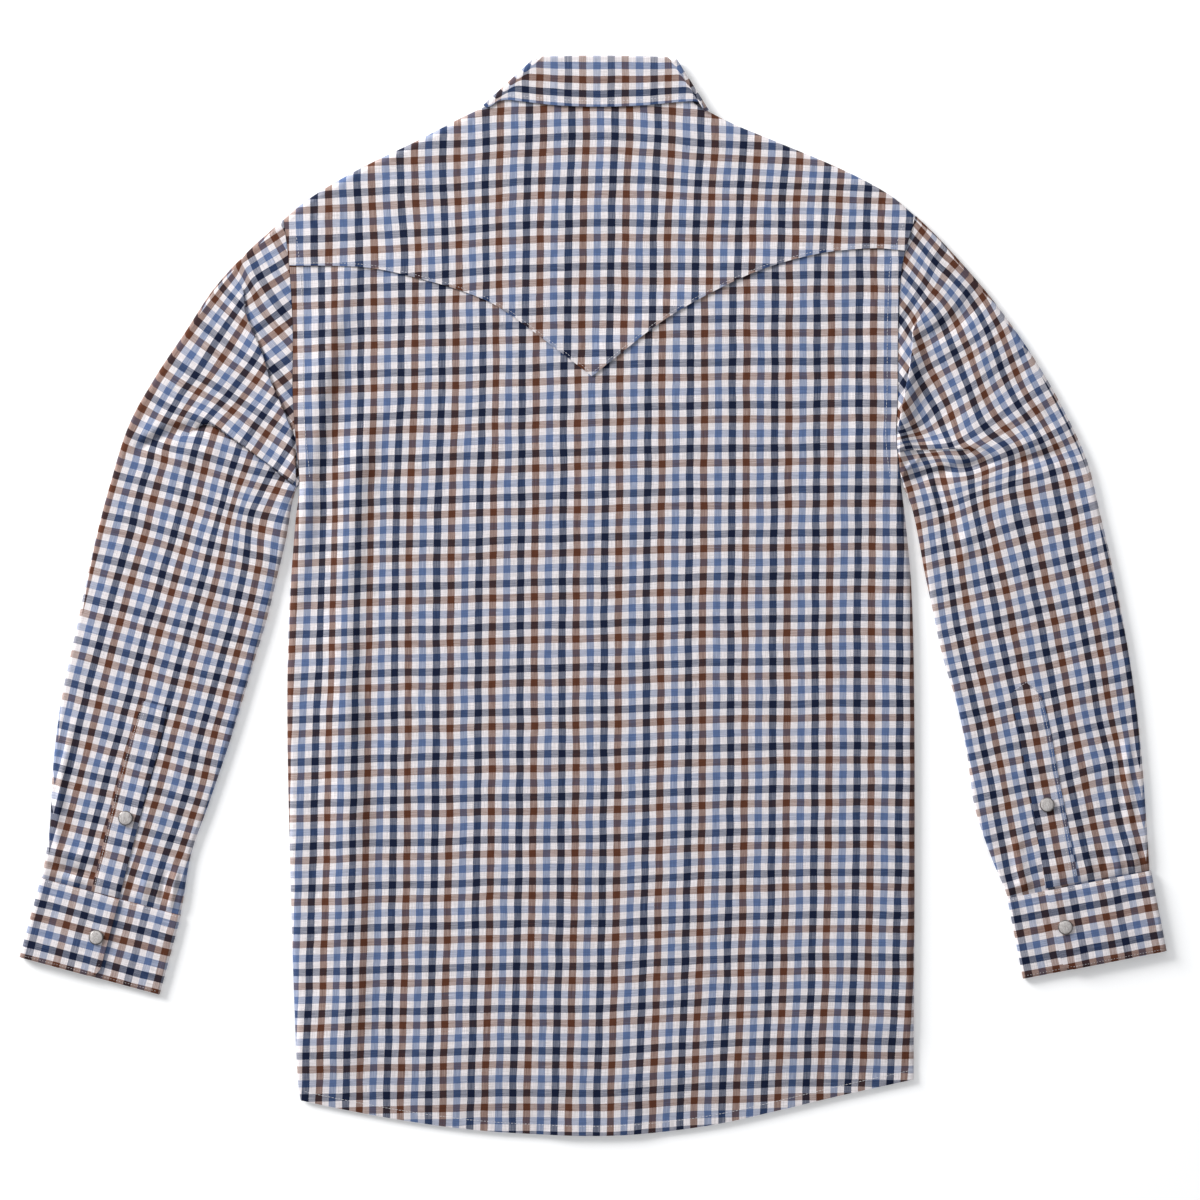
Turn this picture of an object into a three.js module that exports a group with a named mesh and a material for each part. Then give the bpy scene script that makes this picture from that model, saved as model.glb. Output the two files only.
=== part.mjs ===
import * as THREE from 'three';

// Western snap shirt laid flat, face down, with its back on top and its sleeves down its sides.
// Millimetres. +X towards the wearer's right sleeve, +Y towards the collar, +Z up from the
// surface it lies on, which is z = 0. Each piece is a thin closed wall of cloth.

// Cloth, seams and the layers from the surface up
const CLOTH = 1.2;
const CUFF_CLOTH = 1.8;
const BAND_CLOTH = 1.0;
const SEAM = 0.3;
const SLEEVE_SEAM = 0.4;
const BACK_TOP = 6.2;
const SIDE_EDGE = CLOTH + SEAM;
const FOLD_WIDTH = 6;
const FOLDS_BELOW = 76;
const OPENS_ABOVE = 106;
const YOKE_STEP = CLOTH + SEAM;
const YOKE_OVERLAP = 10;
const YOKE_STEP_KEEPS = 13;
const YOKE_STEP_ENDS = 35;
const COLLAR_TOP = 7.7;
const CENTRE = 5.7;

// The yoke folds down over the shoulders, but not along the neck seam between them
const NECK_LEFT = { folded: -84, flat: -72 };
const NECK_RIGHT = { flat: 77, folded: 89 };

// The fronts lie raised on the collar's points: round the neck's middle out to the first distance,
// and down on the surface beyond the second
const NECK_MIDDLE = { x: 4, y: 400 };
const RAISED_WITHIN = 102;
const SETTLED_BEYOND = 140;

// Cuffs, sleeve bands and the front band
const CUFF_HEIGHT = 65;
const CUFF_CORNER = 10;
const CUFF_UNDERLAP = 25;
const CUFF_TOP = 7.2;
const CUFF_UNDER_TOP = 5.1;
const FRONT_BAND_WIDTH = 30;
const FRONT_BAND_LIFT = 1.6;
const FRONT_HEM_RISE = 13;
const BAND_SETTLES_FROM = -240;
const BAND_SETTLED_BY = -340;
const FRONT_EDGE_RISE = 30;
const UNDERLAP_PAST_BAND = 4;
const UNDERLAP_SETTLES = 22;

// Snaps: a 12 mm cap, thicker where it stands free than where the shirt lies on it
const SNAP_RADIUS = 6;
const SNAP_SIDES = 12;
const SNAP_HEIGHT = 2.2;
const FRONT_SNAP_HEIGHT = 1.3;
const FRONT_SNAPS = 7;
const FRONT_SNAP_TOP = 348;
const FRONT_SNAP_FIRST_GAP = 62;
const FRONT_SNAP_SPACING = 98;

// How finely the walls are stepped
const FOLD_STEPS = 4;
const BACK_COLUMNS = 18;
const BACK_ROWS = [{ upTo: 0.065, rows: 3 }, { upTo: 0.66, rows: 9 }, { upTo: 1, rows: 14 }];
const YOKE_COLUMNS = 32;
const YOKE_ROWS = 5;
const YOKE_LOW_ROWS = [0, 0.35, 0.7, 1];
const YOKE_SETTLES = 38;
const FRONT_ROWS = [{ upTo: 0.69, rows: 8 }, { upTo: 1, rows: 13 }];
const FRONT_COLUMNS = 6;
const FRONT_RISE_COLUMNS = [0, 11, 22, 34, 55];
const SLEEVE_ROWS = 20;
const SLEEVE_COLUMNS = 12;
const SLEEVE_UNDER_COLUMNS = 8;
const TURN_STEPS = 6;
const CUFF_ROWS = [0, 0.22, 0.44, 0.66, 0.86, 0.93, 0.98, 1];
const FRONT_BAND_ROWS = 16;

// Left and right edges of the body from hem to shoulder: side seams, then the armholes
const BODY_EDGE = [
  { y: -414, left: -240, right: 262 },
  { y: -397, left: -242.5, right: 263 },
  { y: -331, left: -245.5, right: 263.5 },
  { y: -249, left: -248, right: 264 },
  { y: -118, left: -251, right: 264 },
  { y: -36, left: -250.5, right: 263 },
  { y: 13, left: -248, right: 261 },
  { y: 62, left: -244, right: 256.5 },
  { y: 94, left: -240.5, right: 252.5 },
  { y: 128, left: -243.5, right: 248.5 },
  { y: 165, left: -246, right: 249.5 },
  { y: 220, left: -246, right: 250 },
  { y: 272, left: -249, right: 253.5 },
  { y: 312, left: -254, right: 264.5 },
];

// Lower edge of the back, deepest at the middle
const HEM = [
  { x: -240, y: -414 },
  { x: -207, y: -421 },
  { x: -158, y: -430 },
  { x: -109, y: -437 },
  { x: -60, y: -441 },
  { x: 5.7, y: -443 },
  { x: 55, y: -440 },
  { x: 104, y: -433 },
  { x: 153, y: -422 },
  { x: 203, y: -410 },
  { x: 262, y: -397 },
];

// Lower edge of the back yoke, which comes to a point at the middle
const YOKE_EDGE = [
  { x: -250, y: 271 },
  { x: -184, y: 269 },
  { x: -138, y: 259 },
  { x: -102, y: 248 },
  { x: -76, y: 236 },
  { x: -40, y: 210 },
  { x: -0.8, y: 180, corner: true },
  { x: 19, y: 196 },
  { x: 55, y: 224 },
  { x: 88, y: 244 },
  { x: 134, y: 266 },
  { x: 182, y: 280 },
  { x: 229, y: 285 },
  { x: 256, y: 283 },
];

// Shoulders and the neck seam under the collar
const SHOULDER = [
  { x: -254, y: 309 },
  { x: -235, y: 325 },
  { x: -195, y: 349 },
  { x: -144, y: 374 },
  { x: -113, y: 390 },
  { x: -92, y: 400 },
  { x: -80, y: 405.5 },
  { x: -70, y: 408.5 },
  { x: 3, y: 408.5 },
  { x: 76, y: 408 },
  { x: 86, y: 402.5 },
  { x: 97, y: 396.5 },
  { x: 116, y: 387 },
  { x: 148, y: 374 },
  { x: 207, y: 349 },
  { x: 244, y: 329 },
  { x: 264.5, y: 312 },
];

// Upper edge of the fronts: shoulders, a little inside the yoke's, and the front neckline
const FRONT_TOP = [
  { x: -254, y: 308 },
  { x: -235, y: 323.5 },
  { x: -195, y: 347.5 },
  { x: -144, y: 372.5 },
  { x: -113, y: 388 },
  { x: -92, y: 396 },
  { x: -80, y: 399, corner: true },
  { x: -60, y: 372 },
  { x: -31, y: 343 },
  { x: -9.6, y: 333.5 },
  { x: 5.7, y: 331.5 },
  { x: 21, y: 333.5 },
  { x: 46, y: 343 },
  { x: 75, y: 372 },
  { x: 87, y: 393, corner: true },
  { x: 97, y: 392.5 },
  { x: 116, y: 385 },
  { x: 148, y: 372.5 },
  { x: 207, y: 347.5 },
  { x: 244, y: 327.5 },
  { x: 264.5, y: 311 },
];

// How much of its full height the back keeps near its hem, and at least as much over the front
// band, within the first distance from its middle and dying out by the second
const HEM_OVER_BAND = { share: 0.6, within: 25, upTo: 60 };
const HEM_DROP = [
  { above: 0, share: 0.12 },
  { above: 13, share: 0.38 },
  { above: 45, share: 1 },
];

// Sleeves: sections from the armhole to the cuff, each from its far edge to the edge at the body
const SLEEVE_LEFT = [
  { farX: -254, farY: 309, nearX: -240.5, nearY: 92, top: 6.2 },
  { farX: -285, farY: 281, nearX: -244, nearY: 86, top: 6.2 },
  { farX: -312, farY: 251, nearX: -246, nearY: 80, top: 6.2 },
  { farX: -335, farY: 216, nearX: -247.5, nearY: 74, top: 6.2 },
  { farX: -359, farY: 180, nearX: -248.5, nearY: 68, top: 6.2 },
  { farX: -381, farY: 140, nearX: -250, nearY: 58, top: 6.2 },
  { farX: -396, farY: 93, nearX: -253, nearY: 42, top: 6.1 },
  { farX: -407, farY: 52, nearX: -260, nearY: 13, top: 6 },
  { farX: -416, farY: 12, nearX: -268, nearY: -20, top: 5.9 },
  { farX: -424, farY: -26, nearX: -279, nearY: -56, top: 5.8 },
  { farX: -434, farY: -72, nearX: -292, nearY: -100, top: 5.7 },
  { farX: -440, farY: -110, nearX: -303, nearY: -134, top: 5.6 },
  { farX: -444, farY: -150, nearX: -316, nearY: -172, top: 5.5 },
  { farX: -446, farY: -190, nearX: -330, nearY: -212, top: 5.3 },
  { farX: -452.5, farY: -230, nearX: -338, nearY: -261, top: 5 },
];
const SLEEVE_RIGHT = [
  { farX: 264.5, farY: 312, nearX: 252.5, nearY: 96, top: 6.2 },
  { farX: 285, farY: 292, nearX: 255, nearY: 89, top: 6.2 },
  { farX: 313, farY: 261, nearX: 257.5, nearY: 83, top: 6.2 },
  { farX: 334, farY: 235, nearX: 260, nearY: 77, top: 6.2 },
  { farX: 360, farY: 198, nearX: 262, nearY: 71, top: 6.2 },
  { farX: 383, farY: 159, nearX: 265, nearY: 58, top: 6.2 },
  { farX: 405, farY: 112, nearX: 268, nearY: 42, top: 6.1 },
  { farX: 416, farY: 68, nearX: 272, nearY: 20, top: 6 },
  { farX: 424, farY: 34, nearX: 278, nearY: -8, top: 5.9 },
  { farX: 433, farY: -10, nearX: 287, nearY: -50, top: 5.8 },
  { farX: 441, farY: -55, nearX: 299, nearY: -90, top: 5.7 },
  { farX: 447, farY: -100, nearX: 307, nearY: -130, top: 5.6 },
  { farX: 451, farY: -140, nearX: 313, nearY: -172, top: 5.5 },
  { farX: 454, farY: -182, nearX: 326, nearY: -212, top: 5.3 },
  { farX: 457.5, farY: -224, nearX: 340, nearY: -247, top: 5 },
];

// The sleeves' tops bulge a little, from the first share of their length on, in full by the
// second. Their upper ends are bent to the armhole, and straight from a fifth of their length on.
const SLEEVE_BULGE = { height: 0.5, from: 0.1, full: 0.3 };
const SLEEVE_STRAIGHT_FROM = 0.2;

// Pleats and hollows pressed into the sleeves' tops: from one end to the other, how high, how
// wide on the side that the cloth lies on and how wide on the side it drops off
const SLEEVE_LEFT_FOLDS = [
  { fromX: -287, fromY: 258, toX: -244, toY: 120, rise: 1.3, gentle: 24, steep: 9 },
  { fromX: -318, fromY: 146, toX: -246, toY: 88, rise: 1.3, gentle: 22, steep: 9 },
  { fromX: -380, fromY: 118, toX: -318, toY: 128, rise: -0.7, gentle: 14, steep: 14 },
  { fromX: -424, fromY: -110, toX: -438, toY: -190, rise: 0.7, gentle: 9, steep: 9 },
];
const SLEEVE_RIGHT_FOLDS = [
  { fromX: 252, fromY: 130, toX: 264, toY: 212, rise: 1.3, gentle: 9, steep: 10 },
  { fromX: 256, fromY: 122, toX: 305, toY: 124, rise: 1, gentle: 12, steep: 12 },
  { fromX: 380, fromY: 116, toX: 254, toY: 99, rise: -0.9, gentle: 12, steep: 12 },
  { fromX: 440, fromY: -190, toX: 438, toY: -112, rise: 0.7, gentle: 8, steep: 8 },
];

// Soft upright folds of the back
const BACK_FOLDS = [
  { fromX: -215, fromY: 250, toX: -202, toY: 40, rise: 0.8, gentle: 12, steep: 10 },
  { fromX: -190, fromY: 150, toX: -194, toY: -330, rise: 0.9, gentle: 14, steep: 10 },
  { fromX: -172, fromY: -60, toX: -176, toY: -300, rise: -0.5, gentle: 12, steep: 12 },
];

// Bands over the sleeve openings: a row for each section from the cuff up, edge to edge
const BAND_LEFT = [
  { leftX: -411.5, leftY: -242, rightX: -388.5, rightY: -248 },
  { leftX: -401, leftY: -200, rightX: -377.5, rightY: -206 },
  { leftX: -390, leftY: -155, rightX: -366, rightY: -161 },
  { leftX: -379, leftY: -115, rightX: -355, rightY: -121 },
  { leftX: -369.5, leftY: -86, rightX: -349, rightY: -91 },
];
const BAND_RIGHT = [
  { leftX: 371, leftY: -240, rightX: 398, rightY: -234.5 },
  { leftX: 364, leftY: -195, rightX: 389.5, rightY: -190 },
  { leftX: 357, leftY: -155, rightX: 382, rightY: -150 },
  { leftX: 349, leftY: -112, rightX: 374, rightY: -107 },
  { leftX: 342, leftY: -81, rightX: 367.5, rightY: -82 },
];
const BAND_RIGHT_PEAK = 11;

// Collar leaf from its left point round the back to its right point: the fold, the free edge
// and the layer each section is in. A turn is where the leaf goes round from under to over.
const COLLAR_LEAF = [
  { foldX: 3, foldY: 368, edgeX: -35, edgeY: 312, layer: 'under' },
  { foldX: -19, foldY: 379, edgeX: -54, edgeY: 343, layer: 'under' },
  { foldX: -37, foldY: 406, edgeX: -72, edgeY: 373, layer: 'under' },
  { foldX: -48, foldY: 442, edgeX: -90, edgeY: 403, layer: 'turn' },
  { foldX: -37, foldY: 442.6, edgeX: -67, edgeY: 404.5, layer: 'over' },
  { foldX: -16, foldY: 442.9, edgeX: -32, edgeY: 402, layer: 'over' },
  { foldX: 10, foldY: 443, edgeX: 5, edgeY: 401, layer: 'over' },
  { foldX: 36, foldY: 442.6, edgeX: 42, edgeY: 402, layer: 'over' },
  { foldX: 57, foldY: 442, edgeX: 74, edgeY: 404.5, layer: 'over' },
  { foldX: 68.5, foldY: 441, edgeX: 95, edgeY: 399, layer: 'turn' },
  { foldX: 52, foldY: 406, edgeX: 82, edgeY: 371, layer: 'under' },
  { foldX: 32, foldY: 379, edgeX: 64, edgeY: 342, layer: 'under' },
  { foldX: 9, foldY: 368, edgeX: 46, edgeY: 312, layer: 'under' },
];

// How far the leaf tucks in over the stand near its fold
const LEAF_TUCK = [
  { down: 0, tuck: 1.5 },
  { down: 0.4, tuck: 0.6 },
  { down: 1, tuck: 0 },
];

// Collar stand from its snapped end under the chin round the back: its upper edge, the neck
// seam, and how far its end is raised over the other end
const COLLAR_STAND = [
  { foldX: 20.5, foldY: 367.5, edgeX: 20.5, edgeY: 334.5, layer: 'under', raise: 0 },
  { foldX: 5.7, foldY: 365, edgeX: 5.7, edgeY: 332.5, layer: 'under', raise: 0 },
  { foldX: -19, foldY: 376, edgeX: -31, edgeY: 344.5, layer: 'under', raise: 0 },
  { foldX: -38.4, foldY: 404.6, edgeX: -60, edgeY: 374, layer: 'under', raise: 0 },
  { foldX: -49, foldY: 440.6, edgeX: -79.5, edgeY: 412.8, layer: 'turn', raise: 0 },
  { foldX: -30, foldY: 441.2, edgeX: -55, edgeY: 409.3, layer: 'over', raise: 0 },
  { foldX: 10, foldY: 441.6, edgeX: 3, edgeY: 409, layer: 'over', raise: 0 },
  { foldX: 48, foldY: 441, edgeX: 60, edgeY: 409.2, layer: 'over', raise: 0 },
  { foldX: 69.4, foldY: 439.4, edgeX: 87.5, edgeY: 410.5, layer: 'turn', raise: 0 },
  { foldX: 53.4, foldY: 404.6, edgeX: 74, edgeY: 375, layer: 'under', raise: 0 },
  { foldX: 39, foldY: 384, edgeX: 46, edgeY: 345.5, layer: 'under', raise: 0 },
  { foldX: 24, foldY: 370, edgeX: 25, edgeY: 336, layer: 'under', raise: 1.55 },
  { foldX: -9, foldY: 369, edgeX: -9, edgeY: 336, layer: 'under', raise: 1.55 },
];
const COLLAR_SHARES = [0.25, 0.5, 0.75, 1];
const LEAF_TURN = COLLAR_TOP / 2;
const STAND_TURN = 2.3;

const mix = THREE.MathUtils.lerp;
const ease = THREE.MathUtils.smoothstep;
const smaller = Math.min;
const steps = (count) => Array.from({ length: count + 1 }, (_, i) => i / count);

// Materials
const cottonCheck = new THREE.MeshStandardMaterial({ color: '#98929c', roughness: 0.9 });
const cottonBand = new THREE.MeshStandardMaterial({ color: '#8f8890', roughness: 0.9 });
const pearlSnap = new THREE.MeshStandardMaterial({ color: '#b9b6b4', roughness: 0.25, metalness: 0.2 });

/** A column of a table as a smooth curve through its rows, read where another column is `at`. */
function follow(rows, key, column, at) {
  const last = rows.length - 1;
  if (at <= rows[0][key]) return rows[0][column];
  if (at >= rows[last][key]) return rows[last][column];
  const i = rows.findIndex((row) => row[key] > at) - 1;
  const slope = (a, b) => (rows[b][column] - rows[a][column]) / (rows[b][key] - rows[a][key]);
  const slopeAt = (k) => (rows[k].corner ? slope(i, i + 1) : slope(Math.max(k - 1, 0), smaller(k + 1, last)));
  const span = rows[i + 1][key] - rows[i][key];
  const t = (at - rows[i][key]) / span;
  const bend = t * t * (3 - 2 * t);
  const start = rows[i][column] * (1 - bend) + slopeAt(i) * span * t * (1 - t) * (1 - t);
  return start + rows[i + 1][column] * bend - slopeAt(i + 1) * span * t * t * (1 - t);
}

/** Height of pressed-in folds at a place: each rises to its line and falls off on both sides. */
function foldHeight(folds, x, y) {
  let height = 0;
  for (const fold of folds) {
    const length = Math.hypot(fold.toX - fold.fromX, fold.toY - fold.fromY);
    const alongX = (fold.toX - fold.fromX) / length;
    const alongY = (fold.toY - fold.fromY) / length;
    const along = ((x - fold.fromX) * alongX + (y - fold.fromY) * alongY) / length;
    const aside = (x - fold.fromX) * alongY - (y - fold.fromY) * alongX;
    const width = aside > 0 ? fold.gentle : fold.steep;
    const across = 1 - ease(Math.abs(aside), 0, width);
    height += fold.rise * across * ease(along, -0.05, 0.25) * (1 - ease(along, 0.75, 1.05));
  }
  return height;
}

/**
 * Closed wall of cloth. The grid holds rows of points on the outer face, and each point moved in
 * along the surface's normal there gives the inner face. In a ring each row closes on itself.
 */
function clothWall(grid, thickness, ring = false) {
  const rows = grid.length;
  const columns = grid[0].length;
  const index = (r, c) => r * columns + ((c + columns) % columns);
  const neighbour = (r, c) => grid[r][ring ? (c + columns) % columns : THREE.MathUtils.clamp(c, 0, columns - 1)];
  const outer = grid.flat();
  const inner = grid.flatMap((row, r) =>
    row.map((point, c) => {
      const across = neighbour(r, c + 1).clone().sub(neighbour(r, c - 1));
      const along = grid[smaller(r + 1, rows - 1)][c].clone().sub(grid[Math.max(r - 1, 0)][c]);
      return point.clone().addScaledVector(across.cross(along).normalize(), -thickness);
    }),
  );
  const faces = [];
  const quad = (a, b, c, d) => faces.push(a, b, c, a, c, d);
  const under = outer.length;
  const lastColumn = ring ? columns : columns - 1;
  for (let r = 0; r < rows - 1; r++) {
    for (let c = 0; c < lastColumn; c++) {
      const [a, b, d, e] = [index(r, c), index(r, c + 1), index(r + 1, c + 1), index(r + 1, c)];
      quad(a, b, d, e);
      quad(under + a, under + e, under + d, under + b);
    }
  }
  for (let c = 0; c < lastColumn; c++) {
    const [a, b] = [index(0, c), index(0, c + 1)];
    const [d, e] = [index(rows - 1, c), index(rows - 1, c + 1)];
    quad(a, under + a, under + b, b);
    quad(d, e, under + e, under + d);
  }
  for (let r = 0; r < rows - 1 && !ring; r++) {
    const [a, b] = [index(r, 0), index(r + 1, 0)];
    const [d, e] = [index(r, columns - 1), index(r + 1, columns - 1)];
    quad(a, b, under + b, under + a);
    quad(d, under + d, under + e, e);
  }
  const geometry = new THREE.BufferGeometry().setFromPoints([...outer, ...inner]);
  geometry.setIndex(faces);
  geometry.computeVertexNormals();
  return geometry;
}

/** A named sub-part. */
function piece(name, geometry, material) {
  const mesh = new THREE.Mesh(geometry, material);
  mesh.name = name;
  return mesh;
}

/**
 * Place on the body at a share of the way across it and at the height that `level` gives for an
 * x. Each depends on the other, so they are worked out in turns.
 */
function onBody(left, right, level, across, inset = 0) {
  let x = mix(left(0), right(0), across);
  let y = 0;
  for (let pass = 0; pass < 8; pass++) {
    y = level(x);
    x = mix(left(y), right(y), across) + inset;
  }
  return { x, y };
}

/** Shares of a panel's height for its rows, closer together where a stretch has more of them. */
function rowShares(stretches) {
  const shares = [0];
  for (const { upTo, rows } of stretches) {
    const start = shares.at(-1);
    for (let i = 1; i <= rows; i++) shares.push(mix(start, upTo, i / rows));
  }
  return shares;
}

const bodyLeft = (y) => follow(BODY_EDGE, 'y', 'left', y);
const bodyRight = (y) => follow(BODY_EDGE, 'y', 'right', y);
const hem = (x) => follow(HEM, 'x', 'y', x);
const yokeEdge = (x) => follow(YOKE_EDGE, 'x', 'y', x);
const shoulder = (x) => follow(SHOULDER, 'x', 'y', x);

/** How far the fronts are lifted near the neck, where the collar's points lie under them. */
function collarLift(x, y) {
  const away = Math.hypot(x - NECK_MIDDLE.x, y - NECK_MIDDLE.y);
  return FRONT_BAND_LIFT * (1 - ease(away, RAISED_WITHIN, SETTLED_BEYOND));
}

/** How far the front band is lifted by its snaps: not below them, where it lies down. */
function bandLift(y) {
  return FRONT_BAND_LIFT * ease(y, BAND_SETTLED_BY, BAND_SETTLES_FROM);
}

/** Rounding of a side fold: how far each step is from the edge, and its share of the height. */
const foldSteps = steps(FOLD_STEPS).map((share) => {
  const angle = (share * Math.PI) / 2;
  return { inset: FOLD_WIDTH * (1 - Math.cos(angle)), round: Math.sin(angle) };
});

/** Steps across the body: close together over the folds at its sides, then even. */
function sideSteps(columns) {
  const left = foldSteps.map(({ inset, round }) => ({ across: 0, inset, round }));
  const right = foldSteps.map(({ inset, round }) => ({ across: 1, inset: -inset, round }));
  const middle = steps(columns).slice(1, -1);
  const flat = middle.map((across) => ({ across, inset: mix(FOLD_WIDTH, -FOLD_WIDTH, across), round: 1 }));
  return [...left, ...flat, ...right.reverse()];
}

/** Back: one panel from the hem to under the yoke, folding down at its sides below the armholes. */
function back() {
  const columns = sideSteps(BACK_COLUMNS);
  const grid = rowShares(BACK_ROWS).map((up) =>
    columns.map(({ across, inset, round }) => {
      const level = (x) => mix(hem(x), yokeEdge(x) + YOKE_OVERLAP, up);
      const { x, y } = onBody(bodyLeft, bodyRight, level, across, inset);
      const { share: least, within, upTo } = HEM_OVER_BAND;
      const overBand = least * (1 - ease(Math.abs(x - CENTRE), within, upTo));
      const share = Math.max(follow(HEM_DROP, 'above', 'share', y - hem(x)), overBand);
      const edge = SIDE_EDGE + CLOTH * (1 - share * share);
      const folded = 1 - ease(y, FOLDS_BELOW, OPENS_ABOVE);
      const height = (BACK_TOP - edge) * mix(1, round, folded) * share;
      return new THREE.Vector3(x, y, edge + height + foldHeight(BACK_FOLDS, x, y) * share);
    }),
  );
  return piece('back', clothWall(grid, CLOTH), cottonCheck);
}

/** Back yoke: lies over the back along its pointed edge and folds down at the shoulders. */
function backYoke() {
  const overBack = YOKE_LOW_ROWS.map((low) => ({ low, up: 0, round: 1 }));
  const plain = steps(YOKE_ROWS).slice(1).map((up) => ({ low: 1, up, round: 1 }));
  const folded = foldSteps.slice(0, -1).map(({ inset, round }) => ({ inset, round }));
  const grid = [...overBack, ...plain, ...folded.reverse()].map((row) =>
    steps(YOKE_COLUMNS).map((across) => {
      const level = (x) => {
        if (row.inset !== undefined) return shoulder(x) - row.inset;
        const room = shoulder(x) - yokeEdge(x) - FOLD_WIDTH;
        const low = smaller(YOKE_SETTLES, room * 0.8);
        return yokeEdge(x) + mix(low * row.low, room, row.up);
      };
      const { x, y } = onBody(bodyLeft, bodyRight, level, across);
      const atLeft = 1 - ease(x, NECK_LEFT.folded, NECK_LEFT.flat);
      const atShoulder = atLeft + ease(x, NECK_RIGHT.flat, NECK_RIGHT.folded);
      const edge = SIDE_EDGE + collarLift(x, y);
      const step = YOKE_STEP * (1 - ease(y - yokeEdge(x), YOKE_STEP_KEEPS, YOKE_STEP_ENDS));
      return new THREE.Vector3(x, y, edge + (BACK_TOP + step - edge) * mix(1, row.round, atShoulder));
    }),
  );
  return piece('back_yoke', clothWall(grid, CLOTH), cottonCheck);
}

/** A front, flat on the surface but for the lift that is given and the one over the collar. */
function front(name, side, edge, lift) {
  const width = Math.abs(side(0) - edge);
  const shares = FRONT_RISE_COLUMNS.map((distance) => distance / width);
  const last = shares.at(-1);
  shares.push(...steps(FRONT_COLUMNS).slice(1).map((share) => mix(last, 1, share)));
  const fromRight = side(0) < edge ? shares : shares.reverse();
  const grid = rowShares(FRONT_ROWS).map((up) =>
    fromRight.map((share) => {
      const level = (x) => mix(hem(x) + FRONT_HEM_RISE, follow(FRONT_TOP, 'x', 'y', x), up);
      const { x, y } = onBody(() => edge, side, level, share);
      return new THREE.Vector3(x, y, Math.max(collarLift(x, y), lift(x, y)));
    }),
  );
  return piece(name, clothWall(grid, CLOTH), cottonCheck);
}

/** Left front, which rises to the front band at its edge. */
function frontLeft() {
  const edge = CENTRE - FRONT_BAND_WIDTH / 2 - SEAM;
  return front('front_left', bodyLeft, edge, (x, y) => bandLift(y) * ease(x, edge - FRONT_EDGE_RISE, edge));
}

/** Right front, which runs on over the inside of the front band as its underlap. */
function frontRight() {
  const edge = CENTRE - FRONT_BAND_WIDTH / 2;
  const beyond = edge + FRONT_BAND_WIDTH + UNDERLAP_PAST_BAND;
  const lift = (x, y) => (bandLift(y) + CLOTH + SEAM) * (1 - ease(x, beyond, beyond + UNDERLAP_SETTLES));
  return front('front_right', bodyRight, edge, lift);
}

/** Front band down the left front's edge, carried on its snaps. */
function frontBand() {
  const left = CENTRE - FRONT_BAND_WIDTH / 2;
  const grid = steps(FRONT_BAND_ROWS).map((up) =>
    steps(2).map((across) => {
      const x = left + FRONT_BAND_WIDTH * across;
      const y = mix(hem(x) + FRONT_HEM_RISE, follow(FRONT_TOP, 'x', 'y', x), up);
      return new THREE.Vector3(x, y, bandLift(y) + CLOTH);
    }),
  );
  return piece('front_placket', clothWall(grid, CLOTH), cottonBand);
}

/** Section of a sleeve at a share of its length, read from its table. */
function sleeveSection(rows, share) {
  const numbered = rows.map((row, number) => ({ ...row, number }));
  const at = share * (rows.length - 1);
  const read = (column) => follow(numbered, 'number', column, at);
  const far = new THREE.Vector2(read('farX'), read('farY'));
  const near = new THREE.Vector2(read('nearX'), read('nearY'));
  return { far, near, top: read('top'), width: far.distanceTo(near) };
}

/** Height of a sleeve's top face over its flat thickness: a low bulge, and its pleats but at its edges. */
function sleeveRelief(sleeve, across, x, y, share) {
  const { height, from, full } = SLEEVE_BULGE;
  const bulge = height * Math.sin(Math.PI * across) * ease(share, from, full);
  return bulge + foldHeight(sleeve.folds, x, y) * ease(across, 0.02, 0.1) * (1 - ease(across, 0.9, 0.98));
}

/**
 * Place on a sleeve's flat plan: on the straight section, moved sideways as the first section is
 * to meet the armhole, and less and less so down the sleeve.
 */
function sleevePlan(sleeve, section, across, share) {
  const place = section.far.clone().lerp(section.near, across);
  const first = sleeveSection(sleeve.rows, 0);
  const start = first.far.clone().lerp(first.near, across);
  const moved = sleeve.armhole(start.y) + sleeve.side * SLEEVE_SEAM - start.x;
  place.x += moved * (1 - ease(share, 0, SLEEVE_STRAIGHT_FROM));
  return place;
}

/** Sleeve: a flattened tube from the armhole to the cuff, open at both ends. */
function sleeveTube(name, sleeve) {
  const grid = steps(SLEEVE_ROWS).map((share) => {
    const section = sleeveSection(sleeve.rows, share);
    const radius = section.top / 2;
    const ring = [];
    const put = (across, z, relief) => {
      const place = sleevePlan(sleeve, section, across, share);
      const raised = relief ? sleeveRelief(sleeve, across, place.x, place.y, share) : 0;
      ring.push(new THREE.Vector3(place.x, place.y, z + raised));
    };
    const inset = radius / section.width;
    for (const turn of steps(4).slice(0, -1)) {
      const angle = Math.PI * (turn - 0.5);
      put(inset * (1 - Math.cos(angle)), radius + radius * Math.sin(angle), false);
    }
    for (const across of steps(SLEEVE_COLUMNS)) put(mix(inset, 1 - inset, across), section.top, true);
    for (const turn of steps(4).slice(1, -1)) {
      const angle = Math.PI * (0.5 - turn);
      put(1 - inset * (1 - Math.cos(angle)), radius + radius * Math.sin(angle), false);
    }
    for (const across of steps(SLEEVE_UNDER_COLUMNS).slice(0, -1)) put(mix(1 - inset, inset, across), 0, false);
    return sleeve.side < 0 ? ring : ring.reverse();
  });
  return piece(name, clothWall(grid.reverse(), CLOTH, true), cottonCheck);
}

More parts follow.
